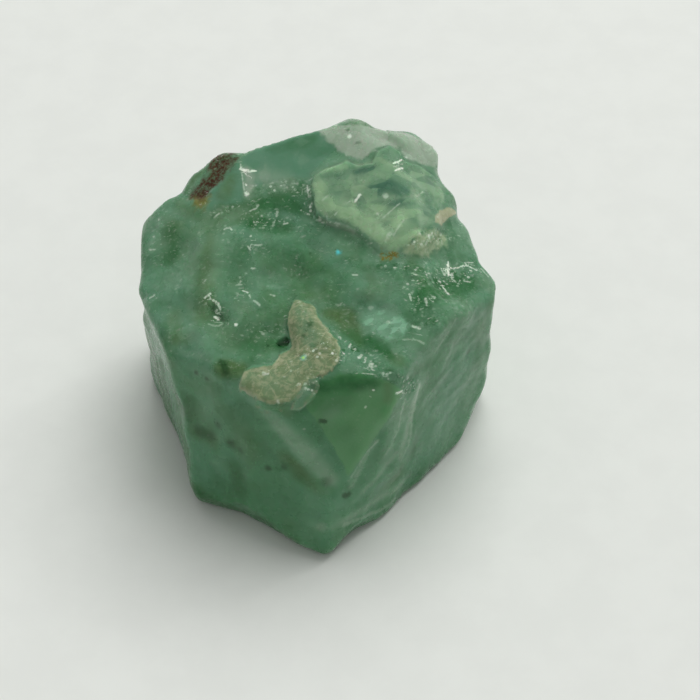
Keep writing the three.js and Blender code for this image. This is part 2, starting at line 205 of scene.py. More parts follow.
# Soft patches of colour: strength, softness of the border, then points with a radius, joined
# one to the next.
# Some patches are painted shade, glow, sheen or highlights, as marked.
PATCHES = {
    # Deep, clear green; in places painted shade, as marked.
    "deep": [
        # strip at the left: painted shade on the left side
        (0.55, 1.1, (-11.5, 0.7, 5.9, 1.25), (-11.1, -0.3, 4.6, 1.39), (-10.8, -0.9, 2.7, 1.39),
         (-10.4, -1.4, 0.4, 1.25)),
        # under the skirt: partly painted shadow under the pale crystal's edge, partly clear deep green
        (0.3, 0.3, (-0.6, 4.2, 16.1, 0.21), (0.3, 3.4, 16, 0.28), (1.2, 2.9, 15.8, 0.28),
         (2.2, 2.2, 15.8, 0.28)),
        # right of the crust
        (0.6, 0.8, (2.2, -5, 13.7, 0.62), (3.3, -6.1, 13.7, 0.56)),
        # left of the heart
        (0.3, 1.7, (-5.6, 1.8, 15.3, 0.97), (-5.2, -1.2, 14.4, 1.11)),
        # right end of the ridge
        (0.4, 1, (9.7, -2.5, 14.4, 0.56)),
        # granular field
        (0.8, 0.8, (-4.4, 3.7, 15.7, 0.62), (-2.2, 3.4, 15.6, 0.62)),
        # upper left of the window
        (0.35, 1, (-0.4, -9.7, 12.5, 0.49), (0.5, -9.7, 11.9, 0.56), (1.5, -9.4, 12.2, 0.56)),
        # in the window
        (0.15, 0.7, (1.4, -10.2, 9.9, 0.49), (2.2, -9.9, 10.2, 0.42)),
        # left edge, low: painted shade
        (0.9, 0.7, (-10.8, -2.6, 11.1, 0.49), (-10.8, -1.6, 6.7, 0.56), (-10.5, -1.7, 3.3, 0.56)),
        # left shoulder pool
        (0.55, 0.7, (-10.1, 4.8, 14.2, 0.62), (-9.4, 3.6, 14.1, 0.56), (-10.1, 2.5, 13.4, 0.56)),
        # pool under the back facet
        (0.8, 0.6, (-3.6, 5.2, 16.1, 0.56), (-2.2, 5.3, 16.4, 0.62), (-1, 4.6, 16.2, 0.42)),
        # heart of the top
        (0.5, 1.5, (-2.8, 1.4, 15.1, 0.97), (-0.8, 0.4, 14.6, 1.39), (1.2, -1.1, 14.8, 1.25)),
        # under the pale lump: partly painted shadow under its edge, partly clear deep green
        (0.2, 0.7, (2.1, 2.7, 16.1, 0.42), (3.1, 1.9, 15.9, 0.56), (4, 1.1, 15.9, 0.35)),
        # clear back
        (0.35, 1, (-0.8, 9.4, 17.6, 0.56), (0.6, 9, 17.8, 0.69), (1.9, 7.8, 18.1, 0.42)),
        # right end of the top
        (0.85, 1, (7.1, -3, 15.3, 0.83), (8.9, -1.2, 14.3, 0.97), (10.5, -0.3, 13.9, 0.62)),
        # beside the hole
        (0.6, 0.8, (-4.4, -5.4, 13.4, 0.56), (-2.4, -5.4, 13.3, 0.56)),
        # wedge over the rim
        (0.9, 0.6, (3.5, -5.5, 13.9, 0.35), (4.3, -6.2, 13.9, 0.49), (4.8, -7, 13.8, 0.28)),
        # head of the window
        (0.9, 0.6, (0.1, -9, 13.3, 0.42), (1.2, -8.6, 13.4, 0.49), (2.5, -8.6, 13.4, 0.49),
         (3.7, -8.6, 13.3, 0.35)),
        (0.35, 1.1, (0.3, -9.4, 12.8, 0.62), (1.8, -9, 12.9, 0.83)),
        # middle of the window
        (0.2, 1.1, (0.1, -10.1, 10.9, 0.56), (1.8, -10, 10.1, 0.83), (2.3, -10.4, 8.7, 0.35)),
        # low left
        (0.8, 1, (-5.5, -9.3, 5.8, 0.56), (-5.2, -9.7, 3.8, 0.62)),
        # beside the right band
        (0.5, 0.7, (6.6, -6.9, 5.8, 0.35), (6.5, -6.9, 3.9, 0.35)),
        # right of the curved step
        (0.6, 0.7, (6.4, -7, 12.8, 0.42), (7.2, -6.1, 12.3, 0.35)),
        # right of the pale lump
        (0.7, 0.6, (9.1, 7.2, 16, 0.28), (9.5, 5.9, 15.8, 0.35)),
        # low edge at the left: painted shade near the floor
        (0.9, 0.8, (-8.4, -8.2, 1.8, 0.56), (-7.1, -9, 1.3, 0.56), (-5, -9.3, 0.5, 0.56),
         (-3.2, -11, 1.5, 0.49)),
        # left of the ridge, low
        (0.9, 0.8, (-9.5, -4.8, 7.6, 0.62), (-8.7, -6.4, 7.9, 0.62), (-8.4, -6.5, 9.1, 0.69)),
        # high in the back facet
        (0.5, 0.7, (-3.1, 9.7, 17.2, 0.42), (-1.7, 9.9, 17.5, 0.56), (-0.3, 10.3, 17.8, 0.49)),
    ],
    "dark": [
        (0.9, 0.4, (-6.5, -8, 8.6, 0.28)),
        (0.8, 0.6, (-7.9, -7.2, 7, 0.35), (-7.1, -7.8, 7.2, 0.35)),
        (0.9, 0.6, (-5.7, -8.9, 7.7, 0.35)),
        (0.7, 0.4, (0.6, -11.3, 6.7, 0.35)),
        # core of the olive spot
        (0.5, 0.4, (-6, -7, 13.1, 0.28)),
        # painted shade where the front meets the floor
        (0.8, 0.2, (-0.1, -12.5, 0.2, 0.28)),
    ],
    # Small holes: sunk, and darkened with painted shade.
    "hollow": [
        # hole
        (1, 0.2, (-2.4, -5.4, 13.3, 0.28), (-2, -5.3, 13.4, 0.35)),
        # pit
        (0.35, 0.4, (-6.9, -2.8, 14.1, 0.35), (-6.6, -3.4, 13.7, 0.28)),
    ],
    "fill": [
        # gap behind the pale crystal
        (1, 1, (4.4, 10.7, 18.1, 0.42), (5.3, 10.9, 17.7, 0.49), (6.1, 10, 18.1, 0.35)),
    ],
    "glass": [
        # bead beside the clear crystal
        (0.5, 0.3, (8.4, 8.5, 16.4, 0.28), (8.7, 8, 16.1, 0.21)),
    ],
    "veil_and_painted_light": [
        # apex
        (0.55, 0.3, (1.7, 11.5, 18.2, 0.28), (2.3, 11.6, 18.4, 0.35), (3, 11, 18.7, 0.28)),
        # skirt of the pale lump: a light rim, partly painted light against the shade of its step
        (0.6, 0.2, (0.3, 3.7, 16.2, 0.17), (1.2, 3.3, 16.1, 0.17), (2, 2.9, 16.3, 0.17),
         (2.6, 2.5, 16.2, 0.14)),
        # band left of the window
        (0.38, 0.7, (-3.2, -9.7, 11.6, 0.35), (-1.8, -10.4, 10.3, 0.56), (-0.3, -10.9, 8.5, 0.56),
         (0.9, -11.2, 6.8, 0.42)),
        # ridge of the right band
        (0.45, 0.3, (6.6, -6.9, 11.3, 0.21), (6.3, -7.1, 8.8, 0.28), (5.9, -7.8, 7, 0.28),
         (5.5, -8.2, 5.5, 0.21)),
        (0.35, 0.3, (3.8, -9.7, 8.9, 0.14), (3, -10.4, 7.5, 0.17), (2.2, -11, 5.7, 0.17)),
        # low rim: painted glow where light comes out through the edge
        (0.4, 0.5, (0.3, -12.2, 2.9, 0.28), (1.9, -11.5, 2.9, 0.28), (3.8, -10, 2.7, 0.28),
         (5.8, -7.9, 2, 0.28)),
        # second band
        (0.4, 0.3, (5.4, -8.4, 6.1, 0.21), (4.1, -9.7, 5.6, 0.21), (3, -10.6, 4.8, 0.21)),
        # by the left edge of the back facet: painted highlight
        (0.9, 0.5, (-4.9, 8.2, 16.6, 0.28), (-4.6, 7.6, 16.6, 0.35), (-4.6, 6.8, 16.5, 0.35),
         (-4.7, 6.1, 16.3, 0.28)),
        (0.6, 0.7, (-3.8, 7.6, 16.7, 0.42)),
        # milk in the back facet: painted sheen
        (0.35, 1, (-3.4, 7.2, 16.7, 0.62), (-2.1, 6.7, 16.8, 0.62)),
    ],
    "thin": [
        # tongue of the crust
        (0.45, 0.6, (-1, -3.4, 14.8, 0.49), (-0.7, -4.8, 14.7, 0.56), (-0.3, -6, 14.5, 0.56)),
        (0.25, 0.7, (-4, -7.6, 13.3, 0.62), (-2.9, -9, 13.4, 0.76)),
    ],
    "cool_glint": [
        (1, 0.2, (1.5, 1.2, 15.4, 0.14)),
    ],
    "warm_glint": [
        (1, 0.2, (-0.8, -7.1, 14, 0.14)),
    ],
    "milk_and_painted_light": [
        # left ridge: a lighter band, partly painted highlight
        (0.25, 0.6, (-8.2, 2.5, 14.6, 0.28), (-8.3, 0.5, 14.2, 0.35), (-8.5, -1.6, 13.7, 0.28),
         (-8.3, -3.8, 13.5, 0.28), (-7.3, -5.9, 13.4, 0.35), (-6.6, -6.6, 13.2, 0.21)),
        # left of the top
        (0.25, 1.2, (-8.7, 3.2, 14.4, 0.56), (-8.8, 0.8, 13.9, 0.62)),
        # veil right of the ridge
        (0.3, 1.1, (-6.1, 3.8, 15.7, 0.56), (-6.4, 1.7, 15.3, 0.69), (-6.9, -0.4, 14.6, 0.49)),
        # band left of the window
        (1, 1, (-3.6, -9.5, 11.9, 0.49), (-1.9, -10.3, 10.6, 0.76), (-0.5, -10.9, 8.7, 0.76),
         (0.9, -11.3, 6.7, 0.62)),
        # core of the right band
        (0.9, 0.6, (6.6, -7, 11.4, 0.21), (6.4, -7.1, 9.1, 0.35), (5.9, -7.7, 7.6, 0.35),
         (5.5, -8.2, 5.9, 0.21)),
        # right band
        (0.6, 1, (5.7, -8, 11.4, 0.56), (5.5, -8, 9, 0.62), (4.8, -9.1, 7.1, 0.42)),
        # inner edge of the right band
        (0.7, 0.4, (3.8, -9.7, 8.9, 0.21), (3, -10.4, 7.5, 0.28), (2.3, -10.9, 6, 0.28)),
        # second band
        (0.7, 0.6, (5.5, -8.2, 6.1, 0.28), (4.1, -9.8, 5.9, 0.28), (3, -10.6, 4.9, 0.28),
         (2.2, -11.2, 4.2, 0.28)),
        # low rim: painted glow where light comes out through the edge
        (0.9, 1, (0.1, -12.1, 3, 0.42), (1, -12.1, 3.2, 0.42), (2.4, -11.2, 3, 0.42),
         (4, -9.7, 2.6, 0.42), (5.9, -7.7, 2.2, 0.42)),
        # right edge: painted glow along the edge
        (0.35, 0.3, (11.5, -0.4, 13.4, 0.17), (11.5, -1.3, 10.6, 0.21), (11.5, -1.3, 7.8, 0.21),
         (11.9, -0.8, 5.4, 0.14)),
        # step below the curved line
        (0.5, 0.6, (6.2, -6.4, 14.1, 0.42), (6.7, -6.6, 13.4, 0.42)),
        # knot
        (1, 0.3, (9.4, -3.7, 11.4, 0.14), (9.8, -3.3, 11.3, 0.17)),
        # wisp
        (0.6, 0.3, (10.5, -2.4, 5.8, 0.1), (9.9, -3, 5.9, 0.17), (9.5, -3.4, 5.7, 0.28)),
        (0.5, 0.3, (8.6, -4.4, 5.7, 0.1), (7.8, -5.5, 6.3, 0.17)),
        (0.5, 0.3, (10.6, -2.4, 8.2, 0.1), (10, -3, 7.9, 0.17)),
        # lighter spot
        (0.8, 0.4, (9.6, -3.5, 11.4, 0.35)),
        # light spots low down
        (1, 0.3, (2.3, -10.9, 5.8, 0.24)),
        (1, 0.3, (-0.2, -12, 3, 0.28)),
        # left face spot
        (0.9, 0.4, (-6.9, -8.4, 5, 0.28)),
        # left edge
        (0.35, 0.6, (-10.9, 5.9, 14.1, 0.28), (-11.2, 4.6, 13.7, 0.28), (-11.5, 3.7, 13.2, 0.28)),
        (0.4, 0.3, (-8.9, -5.4, 12.8, 0.14), (-7.8, -6, 13.1, 0.21), (-6.9, -6.6, 13.2, 0.14)),
        (0.3, 0.7, (0.7, -9.8, 11.5, 0.42), (1.2, -9.6, 11.7, 0.35)),
        # back facet: painted sheen
        (0.4, 0.8, (-3.8, 7.6, 16.7, 0.62), (-2.6, 7.1, 16.9, 0.76)),
        (0.5, 0.2, (-1.5, 9.2, 17.4, 0.17)),
    ],
    "blue": [
        # left edge
        (0.4, 1, (-11.2, 5.7, 13.9, 0.49), (-11.7, 3.2, 13, 0.56), (-11.6, -0.1, 12.4, 0.49),
         (-11.7, 0.9, 8.3, 0.42)),
        # head of the left band
        (0.8, 0.8, (-2.9, -9.8, 11.8, 0.42), (-2, -10.2, 10.8, 0.49)),
        # toe
        (0.7, 1, (0.1, -11.9, 4, 0.62), (1.4, -11.7, 4.7, 0.49)),
        # left shoulder
        (0.3, 1.1, (-10.5, 3.9, 13.7, 0.69), (-10.8, 1.7, 13, 0.69)),
        # soft patch in the top
        (0.45, 0.8, (-2.2, 2.1, 15.4, 0.49), (-1.1, 1.8, 15.3, 0.49)),
        # low left corner
        (0.4, 1.4, (-8.3, -7.2, 5.5, 0.69), (-7.7, -8.2, 3.4, 0.97)),
        # right face
        (0.6, 2.1, (10.8, -2, 13.3, 0.83), (9.8, -3.2, 10.7, 1.25), (9.2, -3.7, 6.1, 1.39),
         (8, -5.2, 2.5, 1.25)),
        # step
        (0.6, 0.6, (6.1, -6.5, 14.1, 0.49), (6.8, -6.5, 13.3, 0.49)),
        # right of the heart
        (0.5, 0.8, (0.9, 0.7, 15.2, 0.42), (1.9, 0.1, 15.2, 0.42)),
        # back
        (0.4, 1, (-3.9, 10, 17.1, 0.42), (-1.2, 10.4, 17.6, 0.56), (1.3, 11.2, 18.2, 0.35)),
    ],
    "olive": [
        # hollow
        (0.9, 0.8, (0.7, -3.5, 14.2, 0.49), (1.9, -3.6, 14, 0.83), (2.3, -4.6, 13.7, 0.69),
         (2.8, -5.6, 13.8, 0.35)),
        # brown patch over the rim
        (0.6, 0.6, (4.8, -6.9, 13.9, 0.35), (5.3, -7.3, 13.8, 0.42)),
        # olive haze at the left
        (0.35, 1.7, (-7.9, 1.4, 14.7, 0.97), (-7.5, -2, 14.3, 0.97), (-5.7, -5, 13.5, 1.11)),
        # olive spot
        (1, 0.6, (-6.1, -7.1, 13.1, 0.56), (-5.1, -7.4, 13.1, 0.56)),
        # between the veils
        (0.5, 1, (-7.2, 2.8, 15.3, 0.42), (-7.3, -0.4, 14.5, 0.56), (-7.4, -3.2, 13.8, 0.56)),
        # warm zone under the left band
        (0.9, 1.1, (-2, -10.5, 8.3, 0.49), (-0.8, -11.1, 7.3, 0.76), (0.3, -11.5, 6.4, 0.62)),
        # left shoulder, low
        (0.5, 1, (-9.5, -2.4, 12.9, 0.56), (-9.2, -4.2, 13, 0.56)),
        # left end of the crust
        (0.5, 0.4, (-4.3, -8.6, 13.3, 0.35)),
        # strip at the left: painted shade on the left side
        (0.7, 1, (-11.9, 1.8, 5.8, 1.11), (-11.4, 0.7, 4.1, 1.25), (-11, -0.2, 2.1, 1.39),
         (-10.6, -1, 0.2, 1.11)),
        # fleck at the back
        (0.5, 0.3, (-3.5, 6.9, 16.7, 0.21)),
        # left facet
        (0.6, 0.7, (-6.4, 6.2, 16.2, 0.56), (-5.9, 7.6, 16.4, 0.42)),
        # beside the rust
        (0.6, 0.7, (-9, 7.8, 15.1, 0.35), (-8.6, 8.5, 15.6, 0.28), (-8, 9, 15.9, 0.21)),
        # right edge of the window
        (0.5, 0.6, (4.5, -8.5, 13.1, 0.28), (4.6, -8.8, 12.1, 0.28)),
        # right of the heart, low
        (0.45, 1.2, (-0.5, -2, 14.3, 0.69), (0.9, -2, 14.6, 0.69)),
        # heel
        (0.5, 1, (-8.2, -7, 6.6, 0.42), (-6.9, -8, 6.9, 0.56)),
        # left of the quartz
        (0.7, 0.4, (4.2, 7.6, 18.2, 0.35), (4.9, 8.4, 18.3, 0.42), (5.6, 8.3, 17.8, 0.28)),
        # left shoulder, high
        (0.4, 0.8, (-9.4, 6.6, 14.9, 0.42), (-8.8, 5.6, 15, 0.42)),
    ],
    "mint": [
        # left lobe
        (0.8, 0.8, (0.3, 5.6, 17.3, 0.42), (0.5, 4.7, 16.8, 0.49), (1.4, 4.1, 17, 0.42),
         (2.3, 4.1, 17, 0.35)),
        # low edge
        (0.9, 0.6, (1.9, 3.6, 16.7, 0.35), (2.4, 3.5, 16.8, 0.42), (3.5, 2.7, 16.7, 0.56),
         (4.5, 1.6, 16.6, 0.49), (5, 1.2, 16.3, 0.35)),
        # tip
        (1, 0.5, (5.5, 1.4, 16.4, 0.42), (6.1, 1.5, 16.7, 0.42), (6.7, 1.7, 17, 0.35)),
        # low middle
        (0.75, 0.8, (3.7, 3.5, 17, 0.56), (5.3, 3, 17.2, 0.56), (5.7, 2.1, 17, 0.62)),
        # upper left rim
        (0.5, 0.4, (0.9, 6.9, 17.8, 0.28), (1.9, 7, 17.8, 0.21)),
        # skirt at the left
        (0.9, 0.3, (-0.6, 4.4, 16.1, 0.21), (0.3, 3.6, 16.1, 0.28), (1.2, 3.1, 16, 0.28),
         (2.2, 2.4, 16, 0.21)),
        # right
        (0.1, 1, (7.4, 5, 16.9, 0.62), (6.8, 2.6, 17.3, 0.56)),
        # top
        (0.2, 0.6, (6.1, 7.4, 17.5, 0.35), (7.2, 7.7, 17, 0.35)),
        (0.5, 0.4, (4.2, 8.9, 18.6, 0.28), (3.8, 8.3, 18.4, 0.28)),
    ],
    "shade": [
        # dark water in the pale lump
        (1, 0.6, (2.8, 6.5, 17.8, 0.28), (3.5, 6.6, 17.9, 0.35), (4.1, 6.8, 18, 0.28)),
        (1, 0.7, (3.8, 4.9, 17.5, 0.42), (4.7, 5.3, 17.8, 0.56), (5.7, 4.9, 17.8, 0.56)),
        (0.7, 0.6, (6, 3.9, 17.6, 0.35), (5.1, 3.7, 17.4, 0.35)),
        (0.15, 0.6, (1.6, 5.8, 17.5, 0.28), (2.4, 5, 17.2, 0.35)),
        (0.7, 0.6, (7.6, 5.5, 16.9, 0.49), (7.3, 3.5, 17.2, 0.35)),
        (0.6, 0.6, (7.6, 7.6, 16.8, 0.35), (7.8, 6.6, 16.7, 0.35)),
        # arc at its top
        (0.6, 0.2, (4.2, 8.4, 18.5, 0.1), (4.9, 8.9, 18.3, 0.1), (5.6, 9, 18, 0.1)),
    ],
    # Where the top sparkles: small chips, lower roughness and painted glints.
    "sparkle": [
        # back edge of the granular field
        (0.6, 0.8, (-4.1, 6.5, 16.5, 0.35), (-2.6, 6.6, 16.7, 0.35), (-0.9, 6.2, 16.9, 0.35)),
        # granular field
        (0.45, 1.1, (-4.2, 4, 15.7, 0.62), (-2.2, 3.7, 15.7, 0.62)),
        # left skirt of the pale lump
        (0.9, 0.4, (-0.3, 5.9, 16.9, 0.28), (-0.5, 5.2, 16.5, 0.28), (-0.1, 4.1, 16.2, 0.28),
         (0.6, 3.5, 16.1, 0.21)),
        # right end of the top
        (0.8, 1, (6.3, -1.5, 15.2, 0.62), (8.3, -0.6, 14.6, 0.83), (10.4, 0.8, 14, 0.56)),
        (0.6, 0.8, (6.8, -3.6, 15.1, 0.49), (8, -3, 15.3, 0.56)),
        (0.6, 0.6, (6.6, -4.7, 14.8, 0.28), (7.7, -4.6, 14.9, 0.35)),
        # line under the stain
        (0.7, 0.6, (4.2, -0.1, 15.5, 0.28), (5.9, -0.4, 15.5, 0.28), (7.2, -0.4, 15.3, 0.28)),
        # middle of the crust
        (1, 0.6, (-0.9, -6.8, 14.1, 0.42), (0.1, -6.8, 14.3, 0.56), (0.9, -6.3, 14.4, 0.35)),
        (0.9, 0.6, (0.9, -6.7, 14.4, 0.35), (1.4, -7.4, 14.2, 0.35), (1.8, -6.3, 13.9, 0.28)),
        # beyond the crust
        (0.7, 0.7, (2.3, -6.3, 13.8, 0.35), (3.2, -6.7, 13.7, 0.35), (3.8, -7.4, 13.7, 0.28)),
        # rim of the window
        (0.9, 0.6, (4.5, -8.1, 13.7, 0.28), (5.5, -8, 13, 0.35), (6.4, -7.2, 11.5, 0.35),
         (5.4, -8.2, 12, 0.28)),
        # tan ledge
        (1, 0.4, (6.4, 1.2, 16.4, 0.35), (7.2, 1.6, 16.6, 0.42), (8.1, 2.8, 15.6, 0.28)),
        (0.5, 0.7, (8.4, 2.4, 15.2, 0.42), (9.1, 3.1, 15.1, 0.28)),
        # low edge of the pale lump
        (0.4, 0.4, (0.9, 3.5, 16.2, 0.21), (2, 2.9, 16.3, 0.21)),
        # glassy end of the crust
        (0.8, 0.4, (-1.1, -9, 13.5, 0.28), (-0.3, -9, 13.3, 0.35), (0.1, -8.6, 13.8, 0.28)),
        # pit
        (0.6, 0.6, (-7.1, -2, 14.3, 0.35), (-6.6, -3.1, 14, 0.35)),
        # left of the crust
        (0.4, 0.7, (-4.1, -4.4, 13.7, 0.35), (-2.1, -4.2, 13.7, 0.35)),
        # corner of the left facet
        (0.5, 0.6, (-7.1, 4.8, 15.6, 0.28), (-5.8, 5.1, 15.9, 0.35)),
        (0.3, 1, (-6.3, 3.2, 15.6, 0.56), (-4.9, 1.8, 15.2, 0.69)),
    ],
}
